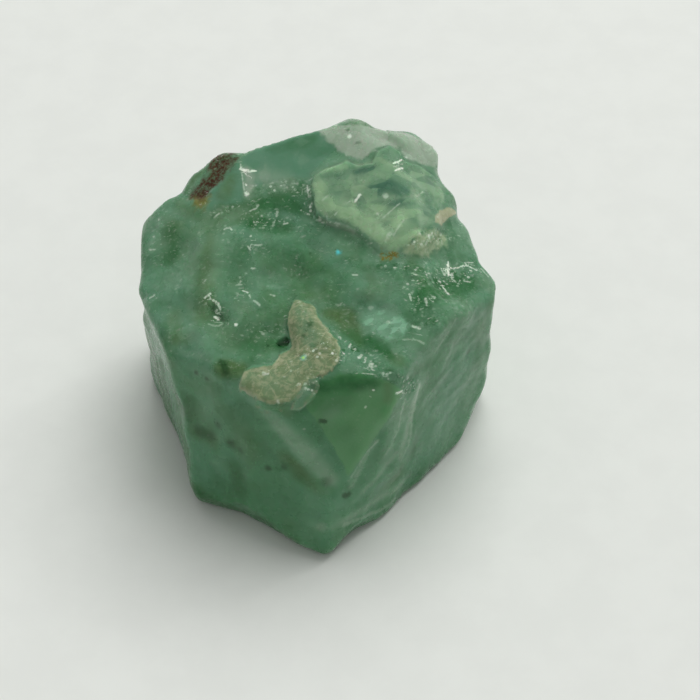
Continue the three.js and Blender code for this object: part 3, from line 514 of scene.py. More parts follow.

# Fine streaks and specks: tone (1 white, -1 black), then points with a radius, joined likewise.
# The white streaks are partly real cracks and chips, partly painted glints.
STREAKS = [
    # flecks over the top
    (0.6, (-10.97, 5.92, 14.09, 0.07)),
    (0.5, (-11.27, 4.67, 13.64, 0.07)),
    (0.5, (-11.52, 3.78, 13.25, 0.06), (-11.15, 3.63, 13.39, 0.06)),
    (0.5, (-11.31, -0.24, 12.49, 0.06), (-10.97, -0.12, 12.66, 0.06)),
    (0.5, (-6.94, 4.63, 15.58, 0.05), (-6.67, 4.8, 15.7, 0.06)),
    (0.6, (-6.27, 3.25, 15.65, 0.06), (-6, 3.43, 15.67, 0.06), (-5.79, 3.13, 15.67, 0.05)),
    (0.5, (-4.53, 4.79, 15.89, 0.06), (-4.12, 4.97, 16.01, 0.05)),
    (0.5, (-3.77, 4.37, 15.81, 0.07)),
    (0.5, (-2.67, 4.69, 15.99, 0.07), (-2.74, 4.35, 15.84, 0.06)),
    (0.6, (-2.25, 3.75, 15.65, 0.05), (-1.98, 3.8, 15.7, 0.06)),
    (0.6, (-4.48, 2.66, 15.55, 0.06)),
    (0.6, (-4.38, 0.38, 14.74, 0.06), (-4.18, 0.39, 14.73, 0.05)),
    (0.6, (-4.68, 1.98, 15.26, 0.06), (-4.54, 1.71, 15.15, 0.05)),
    (0.5, (-5.43, -1, 14.41, 0.06), (-5.03, -0.9, 14.41, 0.05)),
    (0.6, (-4.95, -1.51, 14.36, 0.06), (-4.61, -1.72, 14.38, 0.06)),
    (0.5, (-4.19, -2.34, 14.35, 0.06), (-3.79, -2.64, 14.27, 0.06)),
    (0.5, (-1.3, 5.88, 16.67, 0.06)),
    (0.6, (-2.89, 6.22, 16.54, 0.08)),
    (0.7, (-0.54, 6.18, 16.95, 0.08), (-0.41, 5.37, 16.66, 0.07)),
    (0.6, (-0.54, 4.26, 16.11, 0.08)),
    (0.5, (-1.02, 4.62, 16.14, 0.06)),
    (0.6, (2.42, -0.67, 15.12, 0.06), (2.69, -0.66, 15.12, 0.05)),
    (0.6, (7.2, -3.08, 15.29, 0.07), (7.25, -3.55, 15.2, 0.06)),
    (0.6, (6.17, -2.57, 15.14, 0.06), (6.28, -3.09, 15.12, 0.06)),
    (0.7, (6.37, -4.93, 14.65, 0.08), (6.75, -5.11, 14.65, 0.07)),
    (0.5, (7.73, -3, 15.3, 0.06)),
    # net at the right
    (0.6, (11.15, 1.39, 13.66, 0.06), (11.6, 0.85, 13.52, 0.06)),
    (0.6, (8.92, -0.09, 14.36, 0.05), (9.25, -0.3, 14.19, 0.06)),
    (0.6, (9.88, -0.17, 14.05, 0.06), (10.29, -0.15, 13.94, 0.05)),
    (0.6, (10.03, 1.56, 14.16, 0.05), (10.61, 1.81, 13.91, 0.05)),
    # light lines in the pale crystal
    (0.4, (3.72, 2.28, 16.48, 0.05), (4.81, 3.12, 17.16, 0.05), (5.63, 3.82, 17.53, 0.04)),
    (0.4, (0.55, 4.7, 16.9, 0.06), (0.89, 4.9, 17.19, 0.06)),
    (0.35, (5.04, 1.48, 16.68, 0.05), (5.87, 2.53, 17.16, 0.05)),
    (0.45, (4.65, 1.32, 16.37, 0.06), (4.91, 1.73, 16.81, 0.1)),
    (0.5, (1.37, 3.72, 16.61, 0.05), (2.25, 4.36, 17.03, 0.05)),
    # low specks by the rim
    (0.7, (2.04, -6.19, 13.79, 0.07), (2.17, -5.89, 13.76, 0.06)),
    (0.8, (3.64, -8.73, 12.91, 0.07)),
    (0.5, (1.5, -8.26, 13.74, 0.03), (2.67, -8.08, 13.54, 0.03), (3.83, -8.27, 13.57, 0.03)),
    # left edge of the back facet: painted highlights along the edge
    (0.4, (-5.31, 8.75, 16.69, 0.05), (-5.14, 7.49, 16.51, 0.05), (-4.9, 6.01, 16.27, 0.06)),
    (1, (-5.23, 8.3, 16.63, 0.12), (-4.73, 8.05, 16.66, 0.12), (-4.17, 8.01, 16.75, 0.06)),
    (0.9, (-4.91, 6.83, 16.46, 0.09)),
    (1, (-4.83, 6.08, 16.3, 0.14)),
    # pale lump, dashes: painted glints
    (1, (5.16, 7.14, 18.11, 0.06), (5.67, 7.86, 17.75, 0.06)),
    (1, (5.28, 6.5, 18.04, 0.06), (5.79, 7.1, 17.78, 0.07)),
    (0.9, (2.66, 4.33, 17.06, 0.07), (3.01, 4.79, 17.28, 0.09)),
    (0.5, (4.69, 4.48, 17.56, 0.17)),
    (0.5, (6.38, 4.14, 17.7, 0.05), (7.2, 5.5, 17.1, 0.06)),
    (0.5, (4.14, 3.26, 17.04, 0.09)),
    # in the crackled patch
    (0.4, (3.66, -2.96, 14.41, 0.14)),
    (0.4, (4.82, -4.4, 14.38, 0.14)),
    # star at the right: a painted glint
    (1, (8.84, 1.26, 14.55, 0.03), (8.81, 0.6, 14.53, 0.15), (8.78, 0.02, 14.44, 0.03)),
    (1, (8.31, 0.4, 14.73, 0.03), (9.3, 0.81, 14.33, 0.03)),
    (0.6, (8.44, 0.11, 14.63, 0.07), (9, 0.16, 14.4, 0.14)),
    (0.8, (8.32, -1.09, 14.51, 0.06), (8.51, -1.5, 14.45, 0.07), (8.69, -1.9, 14.47, 0.09)),
    (0.7, (9.45, 0.87, 14.26, 0.06), (9.95, 1.27, 14.15, 0.06), (10.44, 1.25, 13.98, 0.06),
     (10.78, 1.1, 13.84, 0.06)),
    # pit: painted glints
    (0.8, (-7.41, -1.94, 14.31, 0.07), (-7.08, -1.74, 14.4, 0.08)),
    (0.8, (-6.86, -2.23, 14.33, 0.06), (-6.58, -2.5, 14.32, 0.09), (-6.38, -2.84, 14.19, 0.06)),
    (0.9, (-6.71, -3.25, 13.85, 0.1), (-6.51, -3.42, 13.74, 0.09)),
    (0.9, (-5.35, -4.1, 13.97, 0.1)),
    (0.4, (-3.63, -4.55, 13.58, 0.1)),
    (0.5, (-3.13, -1.88, 14.35, 0.06), (-2.86, -1.95, 14.33, 0.06)),
    # rim of the window
    (1, (5.15, -8.51, 12.36, 0.1), (5.43, -8.18, 12.19, 0.07)),
    (0.6, (3.52, -7.55, 13.64, 0.18)),
    (0.8, (2.75, -6.93, 13.73, 0.12)),
    (0.6, (3.13, -9.22, 11.8, 0.08)),
    (0.5, (-0.84, -10.31, 10.87, 0.08)),
    # clear crystal
    (0.8, (2.3, 9.82, 18.34, 0.14)),
    (0.6, (1.34, 11.34, 18.23, 0.1)),
    (0.7, (6.12, 8.49, 17.56, 0.08)),
    (0.7, (7.49, 1.91, 16.45, 0.14)),
    (0.6, (6.39, 1.24, 16.44, 0.1)),
    (0.6, (7.22, 1.51, 16.19, 0.1)),
    # crust
    (0.8, (1.39, -5.38, 13.89, 0.11)),
    (0.7, (-0.76, -9.1, 13.42, 0.11)),
    (0.7, (-2.5, -9.96, 13.04, 0.11)),
    (0.5, (-3.43, -8, 13.36, 0.11), (-3.17, -8.03, 13.39, 0.08)),
    (0.6, (0.01, -8.68, 13.73, 0.08), (-0.18, -8.81, 13.59, 0.08)),
    (0.4, (-5.18, -0.34, 14.52, 0.07)),
    (0.5, (-5.78, 5.18, 15.91, 0.09)),
    (0.4, (-4.05, 5.2, 16.08, 0.08)),
    (0.5, (-0.34, 6.07, 16.95, 0.1)),
    (0.6, (-0.41, 5.48, 16.66, 0.14)),
    (0.5, (0.35, 3.75, 16.21, 0.1)),
    (0.5, (-4.41, 2.12, 15.32, 0.05), (-4.14, 2.06, 15.28, 0.06), (-3.73, 2.13, 15.31, 0.05)),
    # lines of the right band
    (0.27, (6.7, -6.82, 11.26, 0.1), (6.45, -6.99, 8.82, 0.11), (6.19, -7.44, 6.44, 0.1),
     (5.61, -8.11, 4.91, 0.08)),
    (0.24, (5.73, -7.99, 11.19, 0.08), (5.35, -8.23, 8.43, 0.1), (4.49, -9.36, 7.07, 0.08)),
    # thin line below the window
    (0.3, (3.98, -9.57, 8.88, 0.06), (3.25, -10.11, 8.29, 0.06)),
    (0.21, (3.06, -10.28, 7.97, 0.06), (2.47, -10.7, 7.03, 0.07), (2.07, -11.01, 6.35, 0.07)),
    # curved line
    (0.36, (5.7, -5.78, 14.22, 0.05), (6.28, -5.8, 14.33, 0.06), (6.99, -6.09, 14.35, 0.06)),
    # wisp down the right face
    (0.24, (9.11, -3.92, 14.55, 0.07), (8.52, -4.65, 13.88, 0.08), (7.73, -5.52, 13.07, 0.08)),
    # low edge line
    (0.24, (1.7, -11.78, 2.55, 0.14), (2.95, -10.84, 2.1, 0.14), (4.16, -9.61, 1.3, 0.14),
     (5.31, -8.4, 1.09, 0.14)),
    # fold under the left edge
    (0.36, (-10.94, -2.39, 11.98, 0.08), (-10.59, -3.15, 11.51, 0.11), (-10.28, -3.91, 11.43, 0.08)),
    # edge under the pit
    (0.36, (-7.16, -3.87, 13.63, 0.07), (-6.62, -4.08, 13.57, 0.08), (-6.1, -3.83, 13.69, 0.07)),
    # specks
    (-1, (-7.9, -6.55, 12.14, 0.17)),
    (-0.9, (-7.23, -7.02, 12.07, 0.14)),
    (-0.8, (-5, -9.34, 7.57, 0.21)),
    (-1, (-3.19, -10.37, 6.94, 0.21)),
    (-0.6, (-2.11, -10.64, 7.37, 0.21)),
    (-1, (0.27, -9.94, 11.24, 0.18), (0.53, -9.91, 11.16, 0.14)),
    (-0.9, (1.75, -11.33, 5.25, 0.21), (2.02, -11.17, 5.16, 0.21)),
    (-1, (-3.22, -5.49, 13.23, 0.12)),
    (-0.9, (10.25, -2.71, 10.03, 0.17)),
    (-0.8, (5.03, -8.65, 7.78, 0.1)),
    (-0.8, (-6.21, -6.82, 13.13, 0.21), (-5.93, -7.37, 13.05, 0.21)),
    (-0.7, (-0.45, -4.72, 14.71, 0.21)),
    (-0.7, (-0.84, -5.48, 14.47, 0.14)),
    (-0.6, (-0.47, 1.36, 15.11, 0.11)),
    # dark flecks of the clear crystal
    (-0.5, (2.17, 10.46, 18.43, 0.11)),
    (-0.5, (2.85, 9.1, 18.36, 0.11), (3.05, 9.01, 18.49, 0.08)),
]


def linear(code):
    """Blender's linear red, green and blue from six hexadecimal digits."""
    parts = [int(code[k:k + 2], 16) / 255 for k in (0, 2, 4)]
    return tuple(c / 12.92 if c <= 0.04045 else ((c + 0.055) / 1.055) ** 2.4 for c in parts)


def pigment(look, lit):
    """The pigment that has this look on the stage, where the share lit of the light comes back."""
    return tuple(min(0.88, max(0.004, (c - SHEEN) / lit)) for c in linear(look))


def length(name, description, default):
    return bpy.props.FloatProperty(name=name, description=description, default=default, min=0,
                                   unit="LENGTH", precision=5)


def colour(name, description, code, lit=None):
    """A colour, given as it is or, with a share lit, as it looks on the stage."""
    default = pigment(code, lit) if lit else linear(code)
    return bpy.props.FloatVectorProperty(name=name, description=description, default=default,
                                         size=3, min=0, max=1, subtype="COLOR")


def share(name, description, default):
    return bpy.props.FloatProperty(name=name, description=description, default=default, min=0,
                                   max=1, subtype="FACTOR")


def number(name, description, default, low=0.0):
    return bpy.props.FloatProperty(name=name, description=description, default=default, min=low)


def count(name, description, default):
    return bpy.props.IntProperty(name=name, description=description, default=default, min=0)


class CrystalShape(bpy.types.PropertyGroup):
    """Sizes of the crystal's surface."""

    grain: length("Mesh grain", "Spacing of the points on the crystal's surface", 0.13 * MM)
    wear: count("Edge wear", "Rounds of smoothing that wear the edges", 8)
    soften: count("Softening", "Rounds of smoothing around the plates", 130)
    most: count("Most triangles", "Triangles of the finished crystal", 190000)
    scallop: length("Scallops", "Width of the shell-like bites in the broken top", 1.7 * MM)
    chip: length("Chips", "Width of the small flat chips in the broken top", 0.65 * MM)
    swell: length("Swells", "Length of the soft waves on the sides", 2.6 * MM)


class CrystalFinish(bpy.types.PropertyGroup):
    """Colours and clarity of the crystal."""

    body: colour("Body", "Green of the bulk of the crystal", "577c60", LIT_GREEN)
    deep: colour("Deep green", "Green of the clearest, darkest places", "32603a", LIT_GREEN)
    blue: colour("Blue green", "Cooler green", "5a816a", LIT_GREEN)
    # Milky veils, and painted light: glow along the rims and edges, sheen on the back facet.
    milk_and_painted_light: colour("Milky veil", "Pale veils and worn edges", "728e77", LIT_GREEN)
    olive: colour("Olive", "Stained, warmer green", "4e663f", LIT_GREEN)
    # Dark specks, and painted shade in the small holes.
    dark: colour("Dark green", "Small hollows and specks", "244628", LIT_GREEN)
    window: colour("Window", "Deep clear green of the facet below the crust", "588a5c", LIT_GREEN)
    # Painted shade: the sides are multiplied by this, for a deeper green down them.
    side: colour("Sides", "What the sides' deeper colour is multiplied by", "ccf0db")
    water: colour("Pale crystal, clear parts", "Greener parts of the pale crystal", "5f7c64", LIT_PALE)
    pale: colour("Pale crystal", "Pale green crystal on the top", "6b846b", LIT_PALE)
    mint: colour("Pale crystal, light lobes", "Its light lobes", "8aa483", LIT_PALE)
    shade: colour("Pale crystal's depths", "Blue green where it is clear", "426250", LIT_PALE)
    teal: colour("Crackled patch", "Light teal flakes", "769c83", LIT_PALE)
    quartz: colour("Clear crystal", "White, clear crystal at the back", "8f9f8d", LIT_QUARTZ)
    crust: colour("Crust", "Beige crust on the front rim", "687758", LIT_CRUST)
    lip: colour("Crust, its lip", "Lighter edge of the crust", "96987e", LIT_CRUST)
    tan: colour("Tan ledge", "Broken ledge beside the pale crystal", "8e9e80", LIT_CRUST)
    rust: colour("Rust", "Dark red-brown stain", "442e14", LIT_CRUST)
    ochre: colour("Ochre", "Yellow-brown stain", "706a32", LIT_CRUST)
    spot: colour("Beige spot", "Chalky spot at the pale crystal's edge", "92967a", LIT_CRUST)
    # Painted glints and real white chips and cracks share this colour.
    frost_and_glint: colour("Frost", "White chips and cracks", "e6f0e0")
    cool_glint: colour("Cool glint", "Small blue glint", "5fe0e8")
    warm_glint: colour("Warm glint", "Small yellow green glint", "c8f070")
    clarity: share("Clarity", "How much light goes through the body of the crystal", 0.24)
    gloss: share("Roughness", "Roughness of the body of the crystal", 0.24)
    bending: number("Bending of light", "Index of refraction", 1.58, 1.0)


class StudioSettings(bpy.types.PropertyGroup):
    """Floor, lights and camera."""

    floor: colour("Floor", "Colour of the pale floor", "e7e9e4")
    key: number("Key light", "Power of the soft light at the right and above, in watts", 7.1)
    spark: number("Spark light", "Power of the small light that makes chips glint, in watts", 0.15)
    sky: number("Sky", "Strength of the even light all round", 0.40)
    far: length("Camera distance", "From the camera to the middle of the crystal", 125 * MM)
    height: bpy.props.FloatProperty(name="Camera height", description="Angle above the floor",
                                    default=math.radians(47), subtype="ANGLE")
    lens: number("Lens", "Focal length in mm on a sensor of 36 mm", 92.4)


# ---- painting on the surface ------------------------------------------------------------------


def surface(mesh):
    """Points and outward directions of a mesh, as arrays."""
    size = len(mesh.vertices) * 3
    points = np.empty(size)
    mesh.vertices.foreach_get("co", points)
    normals = np.empty(size, np.float32)
    mesh.vertex_normals.foreach_get("vector", normals)
    return points.reshape(-1, 3), normals.reshape(-1, 3)


def along_line(points, a, b):
    """Where the closest spot of the line from a to b lies for each point, 0 to 1, and how far it is."""
    run = b - a
    along = np.clip((points - a) @ run / max(run @ run, TINY), 0, 1)
    return along, np.linalg.norm(points - a - along[:, None] * run, axis=1)


def stretches(stroke):
    """The stretches of a stroke: both ends and both radii. A stroke of one point is one stretch."""
    for start, end in zip(stroke, stroke[1:] or stroke):
        yield np.array(start[:3]), np.array(end[:3]), start[3], end[3]


def inside_outline(points, outline):
    """How far each point lies inside an outline, in mm; far off the outline's plane is outside."""
    ring = np.array(outline)
    middle = ring.mean(0)
    axes = np.linalg.svd(ring - middle)[2]
    flat = (ring - middle) @ axes[:2].T
    spots = (points - middle) @ axes[:2].T
    off = np.abs((points - middle) @ axes[2])
    far = np.full(len(points), NOWHERE)
    odd = np.zeros(len(points), bool)
    for a, b in zip(flat, np.roll(flat, -1, 0)):
        far = np.minimum(far, along_line(spots, a, b)[1])
        crosses = (a[1] > spots[:, 1]) != (b[1] > spots[:, 1])
        rise = b[1] - a[1] if abs(b[1] - a[1]) > TINY else TINY
        odd ^= crosses & (spots[:, 0] < a[0] + (spots[:, 1] - a[1]) / rise * (b[0] - a[0]))
    return np.minimum(np.where(odd, far, -far), PLANE_REACH - off)


def inside_stroke(points, stroke):
    """How far each point lies inside a tapering stroke, in mm."""
    deep = np.full(len(points), -NOWHERE)
    for a, b, wide, narrow in stretches(stroke):
        along, far = along_line(points, a, b)
        deep = np.maximum(deep, wide + along * (narrow - wide) - far)
    return deep


def step(values, low, high):
    """A soft step from 0 at low to 1 at high."""
    t = np.clip((values - low) / (high - low), 0, 1)
    return t * t * (3 - 2 * t)


def coverage(points, name):
    """How strongly the soft patches of a name cover each point, from 0 to 1."""
    bare = np.ones(len(points))
    for strength, soft, *stroke in PATCHES[name]:
        bare *= 1 - strength * step(inside_stroke(points, stroke), -soft / 2, soft / 2)
    return 1 - bare


def closest_streak(points):
    """For each point its closest streak: both ends, then two radii and the tone (0 when far away)."""
    best = np.full(len(points), NOWHERE)
    starts, ends, rows = (np.zeros((len(points), 3)) for _ in range(3))
    for tone, *stroke in STREAKS:
        for a, b, wide, narrow in stretches(stroke):
            far = along_line(points, a, b)[1] - wide
            near = far < best
            best[near] = far[near]
            starts[near] = a
            ends[near] = b
            rows[near] = wide, narrow, tone
    rows[best > STREAK_REACH, 2] = 0
    return starts, ends, rows


def each(points, rule):
    return np.fromiter((rule(Vector(p)) for p in points), float, len(points))


def scallops(points, size, bowl, slope, shift=0.0):
    """Shell-like bites that meet in sharp ridges: every bite is a bowl with a slope of its own."""
    move = Vector((shift, shift, shift))

    def height(p):
        here = p / size + move
        best = NOWHERE
        for seed in noise.voronoi(here)[1]:
            away = here - seed
            lean = noise.cell_vector(seed * SCATTER) - Vector((0.5, 0.5, 0.5))
            best = min(best, bowl * away.length_squared + slope * lean.dot(away))
        return best

    return each(points, height)


def waves(points, size, shift):
    """Soft waves about size mm long."""
    move = Vector((shift, -shift, shift))
    falloff, gap, octaves = 1.0, 2.1, 3
    return each(points, lambda p: noise.fractal(p / size + move, falloff, gap, octaves))


# ---- operators ---------------------------------------------------------------------------------


def select_only(piece):
    bpy.ops.object.select_all(action="DESELECT")
    piece.select_set(True)
    bpy.context.view_layer.objects.active = piece


def modifier(piece, kind, **settings):
    """Adds a modifier to the piece, sets it up and applies it."""
    select_only(piece)
    bpy.ops.object.modifier_add(type=kind)
    made = piece.modifiers[-1]
    for name, value in settings.items():
        setattr(made, name, value)
    bpy.ops.object.modifier_apply(modifier=made.name)


def resize(piece, factor):
    select_only(piece)
    bpy.ops.object.mode_set(mode="EDIT")
    bpy.ops.mesh.select_all(action="SELECT")
    bpy.ops.transform.resize(value=(factor,) * 3, center_override=(0, 0, 0))
    bpy.ops.object.mode_set(mode="OBJECT")


def paint_weights(piece, name, weights):
    """Keeps an array from 0 to 1 as the piece's vertex group, in even steps."""
    group = piece.vertex_groups.new(name=name)
    top = WEIGHT_STEPS - 1
    levels = np.round(np.clip(weights, 0, 1) * top).astype(int)
    order = np.argsort(levels, kind="stable")
    edges = np.searchsorted(levels[order], np.arange(WEIGHT_STEPS + 1))
    for level in range(WEIGHT_STEPS):
        members = order[edges[level]:edges[level + 1]]
        if len(members):
            group.add(members.tolist(), level / top, "REPLACE")


def raise_surface(piece, name, heights):
    """Moves the surface along its normals by an array of heights, through a painted vertex group."""
    low, high = float(heights.min()), float(heights.max())
    paint_weights(piece, name, (heights - low) / (high - low))
    modifier(piece, "DISPLACE", vertex_group=name, direction="NORMAL", mid_level=0.0,
             strength=high - low)
    modifier(piece, "DISPLACE", direction="NORMAL", mid_level=1.0 if low < 0 else 0.0,
             strength=abs(low))


def keep(mesh, name, values, kind="FLOAT"):
    """Keeps an array of numbers or vectors on the mesh's points, for its material."""
    layer = mesh.attributes.new(name, kind, "POINT")
    member = "value" if kind == "FLOAT" else "vector"
    layer.data.foreach_set(member, values.astype(np.float32).ravel())


def relief(points, normals, sizes):
    """Height in mm of the crystal's fine form over the plain solid."""
    def area(name, soft=0.3):
        return step(inside_outline(points, OUTLINES[name]), -soft, soft)

    top = step(normals[:, 2], *TOP_LEAN) * step(points[:, 2], *TOP_FROM)
    calm = np.maximum(area("back_facet"), area("left_facet"))
    pale = area("pale", 0.25)
    quartz = area("quartz", 0.25)
    crust = area("crust", 0.15)
    sparkle = coverage(points, "sparkle")
    rough = (1 - calm) * (1 - 0.8 * quartz) * (1 - 0.75 * pale) * (1 - 0.8 * crust)
    rough *= 1 - 0.5 * coverage(points, "deep")

    bites = scallops(points, sizes.scallop / MM, bowl=0.55, slope=0.9)
    chips = scallops(points, sizes.chip / MM, bowl=0.5, slope=1.2, shift=5.3)
    grains = scallops(points, GRAIN_WIDTH, bowl=0.5, slope=1.3, shift=9.1)
    lobes = scallops(points, LOBE_WIDTH, bowl=-0.7, slope=0.9, shift=3.9)
    soft = waves(points, sizes.swell / MM, shift=2.7)
    height = top * rough * (BITE * bites + CHIP * chips)
    height += (1 - top) * (1 - 0.8 * area("window")) * (SWELL * soft + SIDE_CHIP * chips)
    height += sparkle * (SPARKLE_CHIP * chips + SPARKLE_GRAIN * grains)
    height += pale * (LOBE * lobes + LOBE_CHIP * chips)

    front_right = points[:, 0] - 0.8 * points[:, 1]
    height += area("pale", 0.12) * (PALE_STEP - PALE_STEP_LOSS * step(front_right, -2, 3))
    height += quartz * QUARTZ_WAVE * soft
    border = np.maximum(inside_outline(points, OUTLINES["crust"]),
                        inside_outline(points, OUTLINES["crust_glass"]))
    height += (crust * CRUST_WAVE * soft - CRUST_SINK * step(border, -0.8, 0.4)
               + CRUST_LIP * step(border, -0.06, 0.06))
    height += GAP_FILL * coverage(points, "fill")
    height -= HOLLOW * coverage(points, "hollow")
    height -= RUST_PIT * area("rust")
    return height


def soften(points):
    """Where the steps of the plain solid are smoothed away, because the true borders replace them."""
    crust, pale, quartz = (inside_outline(points, OUTLINES[name])
                           for name in ("crust", "pale", "quartz"))
    ring = step(pale, -1.8, -1.0) * (1 - step(pale, 0.4, 1.2))
    return np.maximum.reduce([step(crust, -1.8, -1.0), ring, 0.35 * step(quartz, -1.5, -0.5)])


class CRYSTAL_OT_body(bpy.types.Operator):
    """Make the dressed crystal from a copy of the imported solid"""

    bl_idname = "crystal.body"
    bl_label = "Crystal"

    def execute(self, context):
        sizes = context.scene.crystal_shape
        foot = np.array(FOOT) / MM
        crystal = self.copy_solid(context)
        coarser = 1
        modifier(crystal, "REMESH", mode="VOXEL", voxel_size=sizes.grain / MM * coarser, adaptivity=0)
        modifier(crystal, "SMOOTH", factor=0.5, iterations=sizes.wear)
        points, _ = surface(crystal.data)
        paint_weights(crystal, "soften", soften(points - foot))
        modifier(crystal, "SMOOTH", factor=0.5, iterations=sizes.soften, vertex_group="soften")
        points, normals = surface(crystal.data)
        corners = [tuple(face.vertices) for face in crystal.data.polygons]
        smooth = BVHTree.FromPolygons([Vector(p) for p in points], corners)
        raise_surface(crystal, "relief", relief(points - foot, normals, sizes))
        triangles = sum(len(face.vertices) - 2 for face in crystal.data.polygons)
        if triangles > sizes.most:
            modifier(crystal, "DECIMATE", decimate_type="COLLAPSE", ratio=sizes.most / triangles)
        crystal.vertex_groups.clear()
        self.settle(crystal)

        points, _ = surface(crystal.data)
        found = [smooth.find_nearest(Vector(p)) for p in points]
        rest = np.array([place for place, _, _, _ in found]) - foot
        upward = np.array([normals[list(corners[face]), 2].mean() for _, _, face, _ in found])
        self.paint(crystal.data, rest, upward)
        resize(crystal, MM)
        select_only(crystal)
        bpy.ops.object.shade_smooth_by_angle(angle=math.radians(SHARP))
        crystal.data.materials.append(CrystalPaint(context.scene.crystal_finish).material)
        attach(crystal, "root")
        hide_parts(NODE)
        return {"FINISHED"}

    def copy_solid(self, context):
        """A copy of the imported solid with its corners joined, in mm."""
        crystal = bpy.data.objects.new("emerald_crystal_dressed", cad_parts[NODE].data.copy())
        context.scene.collection.objects.link(crystal)
        crystal.data.materials.clear()
        select_only(crystal)
        bpy.ops.mesh.customdata_custom_splitnormals_clear()
        resize(crystal, 1 / MM)
        bpy.ops.object.mode_set(mode="EDIT")
        bpy.ops.mesh.select_all(action="SELECT")
        bpy.ops.mesh.remove_doubles(threshold=JOIN)
        bpy.ops.mesh.normals_make_consistent(inside=False)
        bpy.ops.object.mode_set(mode="OBJECT")
        return crystal

    def settle(self, crystal):
        """Brings the crystal back into its solid's box, with its foot flat on the ground."""
        points, _ = surface(crystal.data)
        low, high = points.min(0), points.max(0)
        want_low = np.array(LOW) / MM + (MARGIN, MARGIN, 0)
        want_high = np.array(HIGH) / MM - MARGIN
        factors = (want_high - want_low) / (high - low)
        points = want_low + (points - low) * factors
        ground = want_low[2]
        points[:, 2] = np.where(points[:, 2] < ground + FOOT_SKIN, ground, points[:, 2])
        crystal.data.vertices.foreach_set("co", points.ravel())
        crystal.data.update()

    def paint(self, mesh, rest, upward):
        """Keeps on the mesh where its places, soft patches and streaks lie, measured on the plain form."""
        for name, line in OUTLINES.items():
            keep(mesh, name, np.clip(inside_outline(rest, line), -REACH, REACH))
        for name in PATCHES:
            keep(mesh, name, coverage(rest, name))
        side = (1 - step(upward, *SIDE_LEAN)) * (1 - step(rest[:, 2], *SIDE_UP_TO))
        keep(mesh, "side", side)
        keep(mesh, "rear", side * step(rest[:, 1], *REAR_FROM))
        # Low on the sides, where painted shade goes near the floor.
        keep(mesh, "foot", side * (1 - step(rest[:, 2], *FOOT_UP_TO)))
        keep(mesh, "rest", rest, "FLOAT_VECTOR")
        for name, values in zip(("streak_start", "streak_end", "streak_row"), closest_streak(rest)):
            keep(mesh, name, values, "FLOAT_VECTOR")


# ---- materials ---------------------------------------------------------------------------------


class Paint:
    """A material built out of nodes. A value may be a number, a colour or a node's output."""

    def __init__(self, name):
        self.material = bpy.data.materials.new(name)
        self.material.use_nodes = True
        self.tree = self.material.node_tree

    def put(self, kind, sockets=None, **settings):
        """Adds a node, with its settings and the values of its sockets."""
        made = self.tree.nodes.new(kind)
        for name, value in settings.items():
            setattr(made, name, value)
        for name, value in (sockets or {}).items():
            if isinstance(value, bpy.types.NodeSocket):
                self.tree.links.new(value, made.inputs[name])
            else:
                made.inputs[name].default_value = value
        return made

    def maths(self, kind, *values):
        return self.put("ShaderNodeMath", dict(enumerate(values)), operation=kind).outputs[0]

    def times(self, first, *others):
        """The product of two values or more."""
        for other in others:
            first = self.maths("MULTIPLY", first, other)
        return first

    def plus(self, start, value, factor):
        """The start and a value times a factor."""
        return self.maths("MULTIPLY_ADD", value, factor, start)

    def highest(self, first, *others):
        for other in others:
            first = self.maths("MAXIMUM", first, other)
        return first

    def vectors(self, kind, *values):
        made = self.put("ShaderNodeVectorMath", dict(enumerate(values)), operation=kind)
        return made.outputs["Value" if kind in ("DOT_PRODUCT", "LENGTH") else "Vector"]

    def scaled(self, vector, factor):
        sockets = {0: vector, "Scale": factor}
        return self.put("ShaderNodeVectorMath", sockets, operation="SCALE").outputs["Vector"]

    def ramp(self, value, low, high, start=0.0, end=1.0):
        """Turns a value's range into start to end, with soft shoulders."""
        return self.put("ShaderNodeMapRange", {
            "Value": value, "From Min": low, "From Max": high, "To Min": start, "To Max": end,
        }, interpolation_type="SMOOTHSTEP").outputs["Result"]

    def blend(self, amount, first, second, way="MIX"):
        first, second = (value if isinstance(value, bpy.types.NodeSocket) else (*value[:3], 1)
                         for value in (first, second))
        return self.put("ShaderNodeMix", {0: amount, 6: first, 7: second},
                        data_type="RGBA", blend_type=way).outputs[2]

    def cloud(self, where, size, detail=4.0, rough=0.55, twist=0.0):
        """A cloudy pattern of about 0 to 1 whose lumps are size metres across."""
        return self.put("ShaderNodeTexNoise", {
            "Vector": where, "Scale": 1 / size, "Detail": detail, "Roughness": rough,
            "Distortion": twist,
        }, noise_dimensions="3D").outputs["Fac"]

    def cells(self, where, size, smooth=None):
        """Angular cells about size metres across, with soft borders where smooth is given."""
        sockets = {"Vector": where, "Scale": 1 / size}
        if smooth is None:
            return self.put("ShaderNodeTexVoronoi", sockets, feature="F1")
        return self.put("ShaderNodeTexVoronoi", sockets | {"Smoothness": smooth}, feature="SMOOTH_F1")

    def tones(self, cells):
        """The separate random tones that each cell has: Red, Green and Blue."""
        return self.put("ShaderNodeSeparateColor", {"Color": cells.outputs["Color"]}).outputs

    def turned(self, where, angles, stretch=(1, 1, 1)):
        return self.put("ShaderNodeMapping", {
            "Vector": where, "Rotation": tuple(math.radians(a) for a in angles), "Scale": stretch,
        }, vector_type="POINT").outputs["Vector"]

    def kept(self, name, output="Fac"):
        """What keep put on the mesh under this name."""
        return self.put("ShaderNodeAttribute", attribute_name=name,
                        attribute_type="GEOMETRY").outputs[output]


